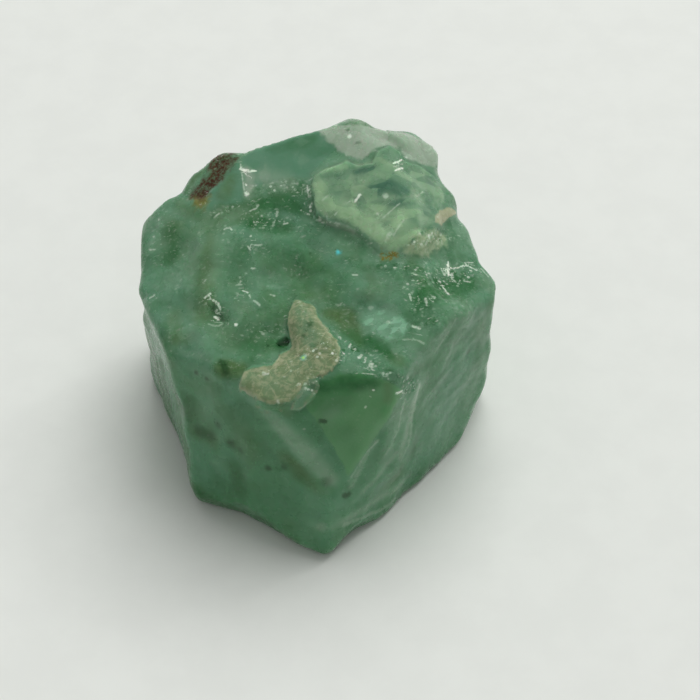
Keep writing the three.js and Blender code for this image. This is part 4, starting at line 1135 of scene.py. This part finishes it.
class CrystalPaint(Paint):
    """Milky to clear green crystal with veils, stains, crusts and small bright chips, and painted light:
    glints, glow, sheen and shade.
    """

    def __init__(self, finish):
        super().__init__("emerald")
        self.tree.nodes.clear()
        self.finish = finish
        self.where = self.put("ShaderNodeTexCoord").outputs["Object"]
        self.form = self.put("ShaderNodeNewGeometry").outputs
        self.find_patterns()
        self.find_places()
        self.paint_body()
        self.paint_soft_patches()
        self.paint_sides()
        self.paint_pale_crystal()
        self.paint_crust()
        self.paint_stains()
        self.paint_marks()
        self.finish_surface()

    def coat(self, amount, dye):
        """Lays a colour over what is painted so far."""
        self.base = self.blend(amount, self.base, dye)

    def place(self, name, soft=0.12, wander=0.8):
        """The share of an outlined place, 0 to 1, with a wandering border; lengths in mm."""
        return self.ramp(self.plus(self.kept(name), self.ragged, wander), -soft, soft)

    def patch(self, name, strength=1.0):
        """The share of a soft patch, broken up a little."""
        return self.times(self.kept(name), strength, self.mottle)

    def find_patterns(self):
        """Patterns that several places share."""
        where = self.where
        twirl = self.put("ShaderNodeTexNoise", {
            "Vector": where, "Scale": 1 / (1.5 * MM), "Detail": 1.0,
        }).outputs["Color"]
        self.bent = self.vectors("ADD", where, self.scaled(twirl, 0.9 * MM))
        self.ragged = self.maths("SUBTRACT", self.cloud(where, 0.6 * MM), 0.5)
        self.mottle = self.ramp(self.cloud(where, 0.9 * MM, 4, 0.5), 0.3, 0.7, 0.75, 1.1)
        self.wisps = self.cloud(self.turned(where, (35, 20, 30), (1, 0.3, 1)), 1.6 * MM, 5, 0.6, 0.8)
        self.flecks = self.cloud(where, 0.4 * MM, 5, 0.65, 0.3)
        self.grit = self.cloud(where, 0.2 * MM, 3, 0.6)
        self.chips = self.cells(where, 0.24 * MM)
        self.wide = self.tones(self.cells(self.bent, 1.3 * MM, 0.35))
        self.narrow = self.tones(self.cells(self.bent, 0.45 * MM, 0.35))

    def find_places(self):
        self.crust = self.place("crust", 0.08, 0.8)
        self.glass = self.place("crust_glass", 0.08, 0.3)
        self.pale = self.place("pale", 0.08, 0.7)
        self.quartz = self.highest(self.place("quartz", 0.15, 0.6), self.kept("glass"))
        self.spot = self.place("beige_spot", 0.06, 0.5)
        self.tan = self.place("tan", 0.2, 1.0)
        self.orange = self.place("orange", 0.2, 1.6)
        self.rust = self.ramp(self.plus(self.kept("rust"), self.ragged, 1.3), -0.65, 0.0)
        self.yellow = self.place("yellow", 0.35, 1.4)
        self.teal = self.place("teal", 0.3, 1.4)
        self.window = self.place("window", 0.1, 0.3)
        self.facet = self.highest(self.place("back_facet", 0.12, 0.3), self.place("left_facet", 0.2, 0.3))
        self.sparkle = self.kept("sparkle")
        self.rear = self.kept("rear")
        self.side = self.times(self.kept("side"), self.ramp(self.window, 0, 1, 1, 0))
        self.loose = self.ramp(self.highest(self.side, self.window), 0, 1, 1, 0.15)

    def paint_body(self):
        """Clouds through the whole crystal, and pieces a little lighter or darker than the next."""
        where, finish = self.where, self.finish
        self.base = self.blend(self.ramp(self.cloud(where, 5.0 * MM, 3), 0.4, 0.66, 0, 0.6),
                               finish.body, finish.blue)
        olive_cloud = self.cloud(self.turned(where, (0, 0, 70)), 4.2 * MM, 3)
        deep_cloud = self.cloud(self.turned(where, (0, 0, 40)), 3.1 * MM, 4, 0.55, 0.8)
        self.coat(self.ramp(olive_cloud, 0.5, 0.7, 0, 0.5), finish.olive)
        self.coat(self.ramp(deep_cloud, 0.5, 0.68, 0, 0.4), finish.deep)
        self.coat(self.ramp(self.wisps, 0.48, 0.72, 0, 0.22), finish.milk_and_painted_light)
        self.coat(self.ramp(self.flecks, 0.52, 0.72, 0, 0.15), finish.milk_and_painted_light)
        for pieces, low, high, amount, dye in (
            (self.wide, 0.6, 0.9, 0.2, finish.milk_and_painted_light),
            (self.wide, 0.4, 0.1, 0.25, finish.deep),
            (self.narrow, 0.65, 0.95, 0.14, finish.milk_and_painted_light),
        ):
            self.coat(self.times(self.ramp(pieces["Red"], low, high, 0, amount), self.loose), dye)
        self.coat(self.times(self.ramp(self.narrow["Green"], 0.6, 0.9), self.sparkle), finish.deep)

    def paint_soft_patches(self):
        finish = self.finish
        self.coat(self.times(self.window, 0.85), finish.window)
        # The smooth facets a lighter blue green: partly painted sheen.
        self.coat(self.times(self.facet, 0.7), finish.blue)
        self.coat(self.patch("blue", 0.9), finish.blue)
        self.coat(self.patch("olive", 0.9), finish.olive)
        # Deep clear green, and in places painted shade, as marked in the patches.
        self.coat(self.patch("deep"), finish.deep)
        # Milky patches, and painted glow on the rims and painted sheen on the back facet.
        self.coat(self.patch("milk_and_painted_light"), finish.milk_and_painted_light)

    def paint_sides(self):
        """Painted shade near the floor, milky clouds down the sides, larger ones at the back, the sides'
        painted shade of deeper green, and lighter edges, partly worn and partly painted glow.
        """
        where, finish = self.where, self.finish
        # Painted shade: deeper green low on the sides, near the floor.
        self.coat(self.times(self.kept("foot"), 0.5), finish.deep)
        drift = self.cloud(self.turned(where, (0, 0, 0), (1, 1, 0.5)), 3.6 * MM)
        self.coat(self.times(self.side, self.ramp(drift, 0.47, 0.68, 0, 0.4)), finish.milk_and_painted_light)
        for size, turn, dye in (
            (5.5 * MM, 0, finish.shade), (4.0 * MM, 50, finish.milk_and_painted_light), (3.0 * MM, 110, finish.olive),
        ):
            drift = self.cloud(self.turned(where, (0, 0, turn), (1, 1, 0.45)), size, 5)
            self.coat(self.times(self.rear, self.ramp(drift, 0.44, 0.64, 0, 0.55)), dye)
        # Painted shade: the sides multiplied deeper, less so at the back.
        painted_side_shade = self.times(self.side, self.plus(1.0, self.rear, -0.8))
        self.base = self.blend(painted_side_shade, self.base, finish.side, "MULTIPLY")
        # Lighter along sharp edges: partly worn chips, partly painted glow of light through the edges.
        edge_wear_and_glow = self.ramp(self.form["Pointiness"], 0.52, 0.6, 0, 0.25)
        self.coat(self.times(edge_wear_and_glow, self.loose), finish.milk_and_painted_light)

    def paint_pale_crystal(self):
        """Small hollows, the crackled patch's light flakes, the pale crystal and the clear one."""
        where, finish = self.where, self.finish
        # Dark specks, and painted shade in the small holes.
        self.coat(self.highest(self.patch("dark"), self.kept("hollow")), finish.dark)
        flakes = self.tones(self.cells(self.turned(where, (20, 40, 0), (1, 1.6, 1)), 0.5 * MM))
        self.coat(self.times(self.teal, self.ramp(flakes["Red"], 0.45, 0.9, 0.4, 1.0)), finish.teal)

        water = self.blend(self.ramp(self.wide["Green"], 0.3, 0.8), finish.water, finish.pale)
        shards = self.tones(self.cells(self.turned(where, (0, 0, 35), (1, 1.7, 1)), 1.15 * MM, 0.12))
        for amount, dye in (
            (self.ramp(self.narrow["Green"], 0.6, 0.9, 0, 0.3), finish.shade),
            (self.patch("mint", 0.9), finish.mint),
            (self.patch("shade"), finish.shade),
            (self.ramp(shards["Red"], 0.5, 0.95, 0, 0.34), finish.mint),
            (self.ramp(shards["Green"], 0.55, 0.95, 0, 0.26), finish.shade),
        ):
            water = self.blend(amount, water, dye)
        # Painted light: a lighter ring just outside the pale crystal, against the shade of its step.
        self.coat(self.ramp(self.kept("pale"), -0.7, -0.1, 0, 0.3), finish.milk_and_painted_light)
        self.coat(self.pale, water)
        milky = self.ramp(self.wisps, 0.25, 0.5, 0.65, 1)
        self.coat(self.quartz, self.blend(milky, finish.pale, finish.quartz))
        # Veils of clear crystal, and in places painted glow, sheen and highlight.
        self.coat(self.times(self.patch("veil_and_painted_light"), self.ramp(self.wisps, 0.3, 0.55, 0.5, 1)), finish.quartz)

    def paint_crust(self):
        """The grainy, cracked crust, thin in places, with its glassy end and its lighter lip."""
        where, finish = self.where, self.finish
        skin = self.ramp(self.cloud(where, 1.0 * MM), 0.3, 0.65, 0.75, 1)
        thin = self.ramp(self.highest(self.glass, self.kept("thin")), 0, 1, 1, 0.2)
        self.thick = self.times(self.crust, thin, skin)
        self.coat(self.thick, finish.crust)
        grains = self.ramp(self.cloud(where, 0.35 * MM, 5, 0.65), 0.45, 0.62, 0, 0.6)
        self.coat(self.times(self.thick, grains), finish.lip)
        cracks = self.put("ShaderNodeTexVoronoi", {"Vector": where, "Scale": 1 / (1.1 * MM)},
                          feature="DISTANCE_TO_EDGE").outputs["Distance"]
        crazing = self.times(self.ramp(cracks, 0.05, 0.0, 0, 0.6), self.ramp(self.wisps, 0.38, 0.52))
        self.coat(self.times(self.thick, crazing), finish.spot)
        self.coat(self.times(self.glass, 0.35), finish.milk_and_painted_light)
        inward = self.plus(self.highest(self.kept("crust"), self.kept("crust_glass")), self.ragged, 0.5)
        lip = self.times(self.ramp(inward, -0.04, 0.06), self.ramp(inward, 0.32, 0.1),
                         self.ramp(self.cloud(where, 0.5 * MM), 0.42, 0.58, 0.1, 0.5))
        self.coat(lip, finish.lip)

    def paint_stains(self):
        finish = self.finish
        self.coat(self.times(self.tan, self.ramp(self.flecks, 0.35, 0.6, 0.4, 1)), finish.tan)
        self.coat(self.spot, finish.spot)
        self.coat(self.times(self.yellow, 0.8), finish.ochre)
        self.coat(self.times(self.rust, self.ramp(self.grit, 0.3, 0.6, 0.5, 1)), finish.rust)
        self.coat(self.times(self.orange, self.ramp(self.grit, 0.4, 0.5)), finish.ochre)

    def streaks(self, wander):
        """Brightness of the closest streak here: 1 on a white one, -1 on a black one, else 0."""
        start = self.kept("streak_start", "Vector")
        here = self.vectors("SUBTRACT", self.kept("rest", "Vector"), start)
        run = self.vectors("SUBTRACT", self.kept("streak_end", "Vector"), start)
        row = self.put("ShaderNodeSeparateXYZ", {"Vector": self.kept("streak_row", "Vector")}).outputs
        along = self.maths("DIVIDE", self.vectors("DOT_PRODUCT", here, run),
                           self.vectors("DOT_PRODUCT", run, run))
        along = self.maths("MINIMUM", self.maths("MAXIMUM", along, 0.0), 1.0)
        far = self.vectors("LENGTH", self.vectors("SUBTRACT", here, self.scaled(run, along)))
        radius = self.plus(row["X"], along, self.maths("SUBTRACT", row["Y"], row["X"]))
        spread = self.maths("DIVIDE", far, self.times(radius, self.plus(1.0, wander, 1.0)))
        return self.times(self.ramp(spread, 1.7, 0.5), row["Z"])

    def paint_marks(self):
        """White chips, scratches and streaks, partly real and partly painted glints; dark specks; and the
        two small painted glints.
        """
        where, finish, bent, kept = self.where, self.finish, self.bent, self.kept
        # Painted glints: white flecks on the chips where the top sparkles.
        flecks_and_glints = self.times(self.ramp(self.tones(self.chips)["Green"], 0.6, 0.9), self.sparkle,
                            self.ramp(self.chips.outputs["Distance"], 0.6, 0.3),
                            self.ramp(self.flecks, 0.4, 0.55))
        dashes = self.cloud(self.turned(bent, (0, 0, 20), (1, 1.9, 1)), 0.3 * MM, 3, 0.5)
        crossed = self.cloud(self.turned(bent, (0, 0, -50), (1, 1.9, 1)), 0.26 * MM, 3, 0.5)
        often = self.times(self.highest(self.sparkle, self.ramp(self.side, 0, 0.6, 0.3, 0.05)),
                           self.ramp(self.highest(self.window, self.facet, self.pale), 0, 1, 1, 0.15),
                           self.ramp(self.cloud(where, 1.3 * MM, 3), 0.42, 0.6, 0.1, 1.2))
        scratch = self.highest(self.ramp(dashes, 0.6, 0.7), self.ramp(crossed, 0.62, 0.72))
        line = self.streaks(self.plus(-1.0, self.grit, 2.0))
        streak_cracks_and_glints = self.times(self.maths("MAXIMUM", line, 0.0), self.ramp(self.grit, 0.3, 0.55, 0.45, 1))
        # White chips and cracks, partly painted glints, laid in one white colour.
        self.white_marks_and_glints = self.highest(self.times(flecks_and_glints, 0.9), self.times(scratch, often), streak_cracks_and_glints)
        self.coat(self.white_marks_and_glints, finish.frost_and_glint)
        self.coat(self.maths("MAXIMUM", self.times(line, -0.85), 0.0), finish.dark)
        self.glint = self.highest(kept("cool_glint"), kept("warm_glint"))
        self.coat(self.glint, self.blend(kept("warm_glint"), finish.cool_glint, finish.warm_glint))

    def tilt(self):
        """The surface's direction, with small pieces and tiny chips that each lean their own way."""
        broken = self.ramp(self.highest(self.facet, self.window, self.side), 0, 1, 1, 0.15)
        direction = self.form["Normal"]
        for pieces, amount in (
            (self.chips, self.plus(0.05, self.sparkle, 1.0)),
            (self.cells(self.bent, 1.6 * MM), self.times(broken, 0.16)),
            (self.cells(self.bent, 0.6 * MM), self.times(broken, 0.08)),
        ):
            lean = self.vectors("SUBTRACT", pieces.outputs["Color"], (0.5, 0.5, 0.5))
            direction = self.vectors("ADD", direction, self.scaled(lean, amount))
        return self.put("ShaderNodeBump", {
            "Strength": self.ramp(self.side, 0, 1, 0.5, 0.15), "Distance": 0.04 * MM,
            "Height": self.cloud(self.where, 0.25 * MM, 5, 0.6),
            "Normal": self.vectors("NORMALIZE", direction),
        }).outputs["Normal"]

    def finish_surface(self):
        """Dull where it is crusted or broken small, glossy on the flat places, and partly clear."""
        gloss = self.finish.gloss
        rough = self.ramp(self.cloud(self.where, 1.1 * MM, 3), 0.3, 0.7, gloss - 0.06, gloss + 0.1)
        for place, more in (
            (self.window, -0.12), (self.facet, -0.14), (self.crust, 0.08), (self.sparkle, -0.1),
        ):
            rough = self.plus(rough, place, more)
        clear = self.plus(self.finish.clarity, self.highest(self.window, self.facet), 0.06)
        solid = self.highest(self.times(self.thick, 0.9), self.tan, self.spot, self.rust, self.white_marks_and_glints,
                             self.glint, self.orange, self.times(self.yellow, 0.6))
        shader = self.put("ShaderNodeBsdfPrincipled", {
            "Base Color": self.base,
            "Roughness": self.maths("MAXIMUM", rough, 0.09),
            "Normal": self.tilt(),
            "Transmission Weight": self.times(clear, self.ramp(solid, 0, 1, 1, 0)),
            "IOR": self.finish.bending,
            "Specular IOR Level": 0.25,
            "Subsurface Weight": 1.0,
            "Subsurface Radius": GLOW,
            "Subsurface Scale": GLOW_REACH * MM,
        })
        inside = self.put("ShaderNodeVolumeAbsorption", {"Color": INNER_GREEN, "Density": INNER_DENSITY})
        self.put("ShaderNodeOutputMaterial", {
            "Surface": shader.outputs["BSDF"], "Volume": inside.outputs["Volume"],
        })


# ---- stage -------------------------------------------------------------------------------------


def floor_material(settings):
    """Pale paper, a touch darker here and there."""
    paint = Paint("pale_paper")
    where = paint.put("ShaderNodeTexCoord").outputs["Object"]
    fibre = paint.ramp(paint.cloud(where, 4 * MM, 5, 0.6), 0.35, 0.65)
    darker = [c * 0.975 for c in settings.floor]
    shader = paint.tree.nodes["Principled BSDF"]
    paint.tree.links.new(paint.blend(fibre, darker, settings.floor), shader.inputs["Base Color"])
    shader.inputs["Roughness"].default_value = 0.75
    return paint.material


class CRYSTAL_OT_stage(bpy.types.Operator):
    """Set the pale floor, the soft studio light and the camera"""

    bl_idname = "crystal.stage"
    bl_label = "Stage"

    def execute(self, context):
        settings = context.scene.studio_settings
        bpy.ops.object.select_all(action="DESELECT")
        bpy.ops.mesh.primitive_plane_add(size=3.0, location=(FOOT.x, FOOT.y, FOOT.z))
        floor = context.object
        floor.name = "floor"
        floor.data.materials.append(floor_material(settings))

        aim = FOOT + AIM * MM
        key = self.lamp("key", aim, azimuth=62, height=60, far=0.95, size=0.8, power=settings.key)
        key.visible_glossy = False
        self.lamp("spark", aim, azimuth=35, height=42, far=0.7, size=0.04, power=settings.spark)
        self.camera(context, aim, settings)

        world = bpy.data.worlds.new("soft_sky")
        world.use_nodes = True
        sky = world.node_tree.nodes["Background"]
        sky.inputs["Color"].default_value = (0.98, 1.0, 0.99, 1)
        sky.inputs["Strength"].default_value = settings.sky
        context.scene.world = world
        context.scene.view_settings.view_transform = "Standard"
        return {"FINISHED"}

    def lamp(self, name, aim, azimuth, height, far, size, power):
        """A square soft light. Azimuth 0 is at the crystal's right, 90 behind it; angles in degrees."""
        turn, rise = math.radians(azimuth), math.radians(height)
        flat = math.cos(rise)
        direction = Vector((flat * math.cos(turn), flat * math.sin(turn), math.sin(rise)))
        bpy.ops.object.light_add(type="AREA", location=aim + direction * far)
        lamp = bpy.context.object
        lamp.name = name
        lamp.rotation_euler = direction.to_track_quat("Z", "Y").to_euler()
        lamp.data.shape = "SQUARE"
        lamp.data.size = size
        lamp.data.energy = power
        lamp.visible_transmission = False
        return lamp

    def camera(self, context, aim, settings):
        direction = Vector((0, -math.cos(settings.height), math.sin(settings.height)))
        bpy.ops.object.camera_add(location=aim + direction * settings.far)
        camera = context.object
        camera.rotation_euler = direction.to_track_quat("Z", "Y").to_euler()
        camera.data.sensor_width = SENSOR
        camera.data.lens = settings.lens
        camera.data.clip_start = 5 * MM
        camera.data.clip_end = 10
        camera.data.shift_x, camera.data.shift_y = SHIFT
        context.scene.camera = camera


class CRYSTAL_PT_sidebar(bpy.types.Panel):
    """The crystal's settings and its operators"""

    bl_label = "Rough emerald crystal"
    bl_idname = "CRYSTAL_PT_sidebar"
    bl_space_type = "VIEW_3D"
    bl_region_type = "UI"
    bl_category = "Crystal"

    def draw(self, context):
        for name in GROUPS:
            box = self.layout.box()
            group = getattr(context.scene, name)
            for prop in group.bl_rna.properties:
                if prop.identifier not in ("rna_type", "name"):
                    box.prop(group, prop.identifier)
        self.layout.operator(CRYSTAL_OT_body.bl_idname)
        self.layout.operator(CRYSTAL_OT_stage.bl_idname)


GROUPS = {
    "crystal_shape": CrystalShape,
    "crystal_finish": CrystalFinish,
    "studio_settings": StudioSettings,
}
CLASSES = (*GROUPS.values(), CRYSTAL_OT_body, CRYSTAL_OT_stage, CRYSTAL_PT_sidebar)


def register():
    for kind in CLASSES:
        bpy.utils.register_class(kind)
    for name, group in GROUPS.items():
        setattr(bpy.types.Scene, name, bpy.props.PointerProperty(type=group))


def unregister():
    for name in GROUPS:
        delattr(bpy.types.Scene, name)
    for kind in reversed(CLASSES):
        bpy.utils.unregister_class(kind)


def main():
    register()
    bpy.ops.crystal.body()
    bpy.ops.crystal.stage()


if __name__ == "__main__":
    main()
